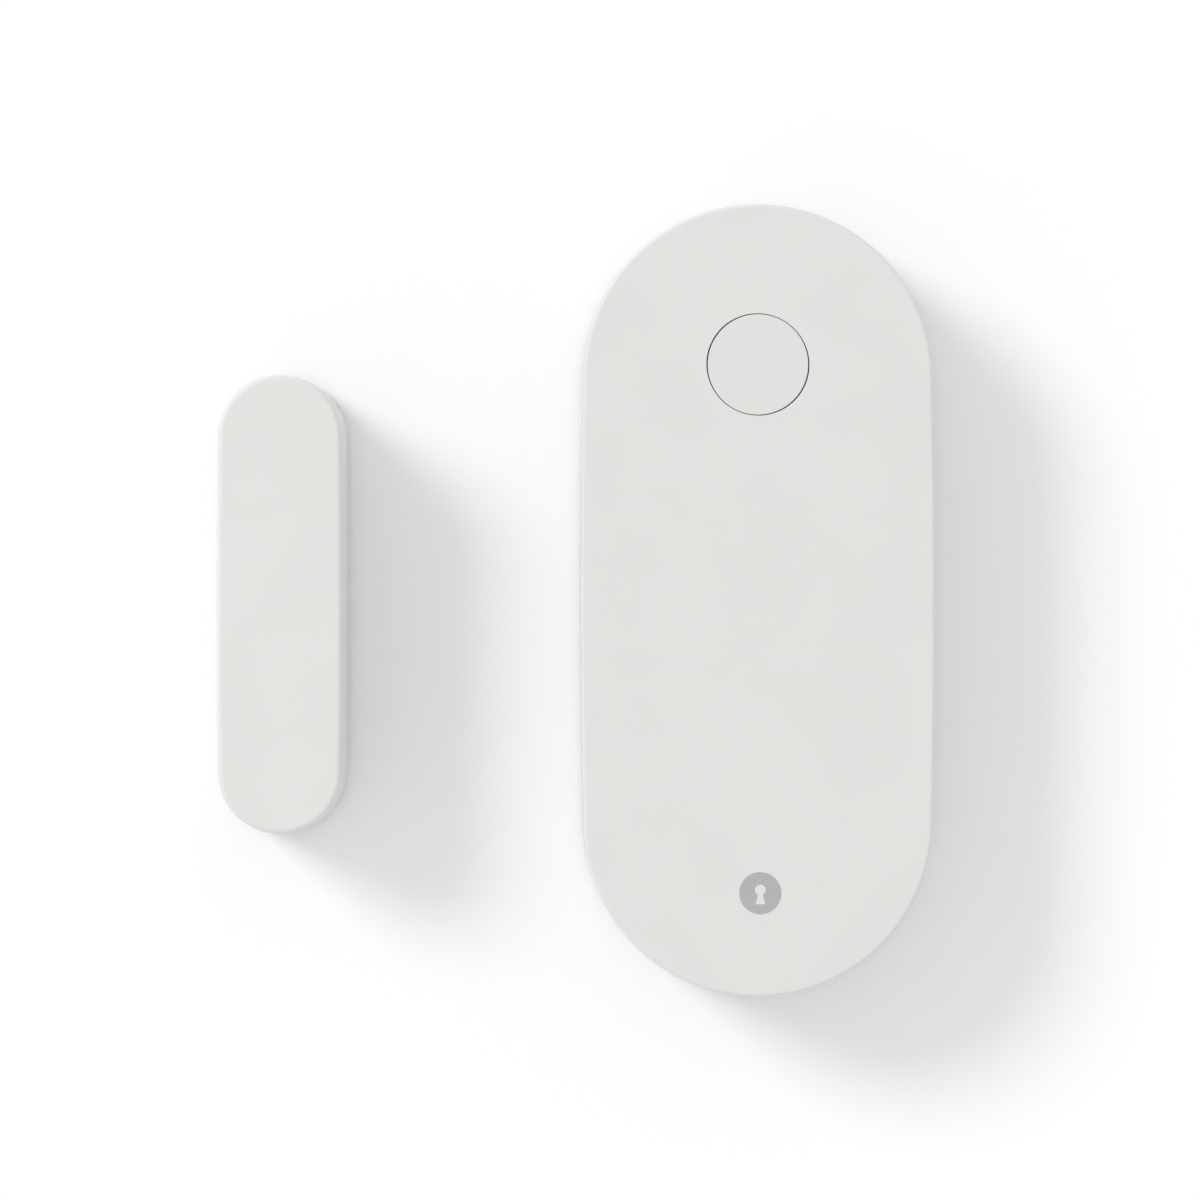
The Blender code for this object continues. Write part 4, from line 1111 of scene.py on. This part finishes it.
# Reed switch glass, drawn down on to its leads at both ends.
glass_low, glass_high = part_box("reed_glass")
gx, gz = (glass_low.x + glass_high.x) / 2, (glass_low.z + glass_high.z) / 2
gy = (glass_low.y + glass_high.y) / 2
half, gr = (glass_high.y - glass_low.y) / 2, (glass_high.x - glass_low.x) / 2
outside = [(0.34 * MM, half), (0.5 * MM, half - 0.02 * MM), (0.7 * MM, half - 0.1 * MM), (0.86 * MM, half - 0.24 * MM), (0.96 * MM, half - 0.42 * MM), (gr, half - 0.65 * MM)]
inside = [(0.74 * MM, half - 1.25 * MM), (0.68 * MM, half - 1.08 * MM), (0.52 * MM, half - 0.95 * MM), (0.34 * MM, half - 0.9 * MM)]
profile = outside + [(r, -z) for r, z in reversed(outside)] + [(r, -z) for r, z in reversed(inside)] + inside
bm = turned_bm(profile, 48, closed=True)
bmesh.ops.rotate(bm, verts=bm.verts[:], cent=(0, 0, 0), matrix=Matrix.Rotation(-math.pi / 2, 3, "X"))
bmesh.ops.translate(bm, verts=bm.verts[:], vec=(gx, gy, gz))
to_object("reed_glass_drawn", bm, reed_glass_material, BOARD, replaces=("reed_glass",))

# --- Printed mark ------------------------------------------------------------------------------------

MARK_X, MARK_Y = 0.2 * MM, -25.75 * MM
ink = Nodes("pad_printed_ink", (0.405, 0.415, 0.41), 0.5)
speck = ink.noise(0.18 * MM, detail=2)
ink.colour(ink.blend_colours(ink.remap(speck, 0.35, 0.65, 0, 1), (0.395, 0.405, 0.40), (0.42, 0.43, 0.425)))
ink.roughness(ink.remap(speck, 0.3, 0.7, 0.42, 0.55))


def keyhole(steps=40):
    """Outline of a plain keyhole: a round head over a flared foot."""
    head, foot_half, drop = 0.48 * MM, 0.44 * MM, 0.98 * MM
    neck = math.radians(-62)
    points = []
    for k in range(steps + 1):
        a = neck + (math.pi - 2 * neck) * k / steps
        points.append((head * math.cos(a), 0.28 * MM + head * math.sin(a)))
    points += [(-foot_half, -drop), (foot_half, -drop)]
    return points


bm = bmesh.new()
sides = []
for z in (TOP + 0.004 * MM, TOP + 0.016 * MM):
    outer = [bm.verts.new((x, y, z)) for x, y in circle(1.85 * MM, 96)(0)]
    inner = [bm.verts.new((x, y, z)) for x, y in keyhole()]
    for ring in (outer, inner):
        for a, b in zip(ring, ring[1:] + ring[:1]):
            bm.edges.new((a, b))
    sides.append((outer, inner))
for k in (0, 1):
    a, b = sides[0][k], sides[1][k]
    n = len(a)
    for j in range(n):
        bm.faces.new((a[j], a[(j + 1) % n], b[(j + 1) % n], b[j]))
for outer, inner in sides:
    fill_between(bm, outer, inner)
bmesh.ops.translate(bm, verts=bm.verts[:], vec=(MARK_X, MARK_Y, 0))
to_object("printed_mark", bm, ink.material, "front_cover")

# --- Floor, lights and camera -----------------------------------------------------------------------------

floor_mesh = bpy.data.meshes.new("floor")
bm = bmesh.new()
bmesh.ops.create_grid(bm, x_segments=1, y_segments=1, size=8.0)
bm.to_mesh(floor_mesh)
bm.free()
floor = bpy.data.objects.new("floor", floor_mesh)
floor.location.z = -0.02 * MM
scene.collection.objects.link(floor)
floor_paper = Nodes("floor_paper", (0.945, 0.945, 0.945), 0.9)
fibre = floor_paper.noise(2.0 * MM, detail=3)
floor_paper.colour(floor_paper.blend_colours(fibre, (0.94, 0.94, 0.94), (0.95, 0.95, 0.95)))
floor_mesh.materials.append(floor_paper.material)

# An even white studio: a pale dome, a little brighter towards the horizon, and one broad key.
world = bpy.data.worlds.new("studio")
scene.world = world
world.use_nodes = True
sky = world.node_tree
dome = sky.nodes["Background"]
dome.inputs["Color"].default_value = (1, 1, 1, 1)
way = sky.nodes.new("ShaderNodeTexCoord")
split = sky.nodes.new("ShaderNodeSeparateXYZ")
rise = sky.nodes.new("ShaderNodeMapRange")
for k, v in (("From Min", 0.0), ("From Max", 0.35), ("To Min", 1.0), ("To Max", 0.815)):
    rise.inputs[k].default_value = v
sky.links.new(way.outputs["Generated"], split.inputs[0])
sky.links.new(split.outputs["Z"], rise.inputs["Value"])
sky.links.new(rise.outputs["Result"], dome.inputs["Strength"])

key_way = Vector((-0.97, 0.67, 1.0)).normalized()
key_light = bpy.data.lights.new("key", "SUN")
key_light.energy = 0.79 / key_way.z
key_light.angle = math.radians(21)
key = bpy.data.objects.new("key", key_light)
scene.collection.objects.link(key)
key.location = key_way * 1.2
key.rotation_euler = key_way.to_track_quat("Z", "Y").to_euler()

camera_data = bpy.data.cameras.new("camera")
camera = bpy.data.objects.new("camera", camera_data)
scene.collection.objects.link(camera)
scene.camera = camera
CAMERA_HEIGHT = 715 * MM
PIXELS_PER_M = 11368.0
camera.location = (-13.9 * MM, 0.04 * MM, CAMERA_HEIGHT)
camera.rotation_euler = (0, 0, 0)
camera_data.sensor_width = 36.0
camera_data.lens = PIXELS_PER_M * (CAMERA_HEIGHT - TOP) * 36.0 / 1200.0
camera_data.clip_start = 0.01
camera_data.clip_end = 20.0

scene.view_settings.view_transform = "Standard"
scene.view_settings.look = "None"
scene.view_settings.exposure = 0.0
scene.view_settings.gamma = 1.0
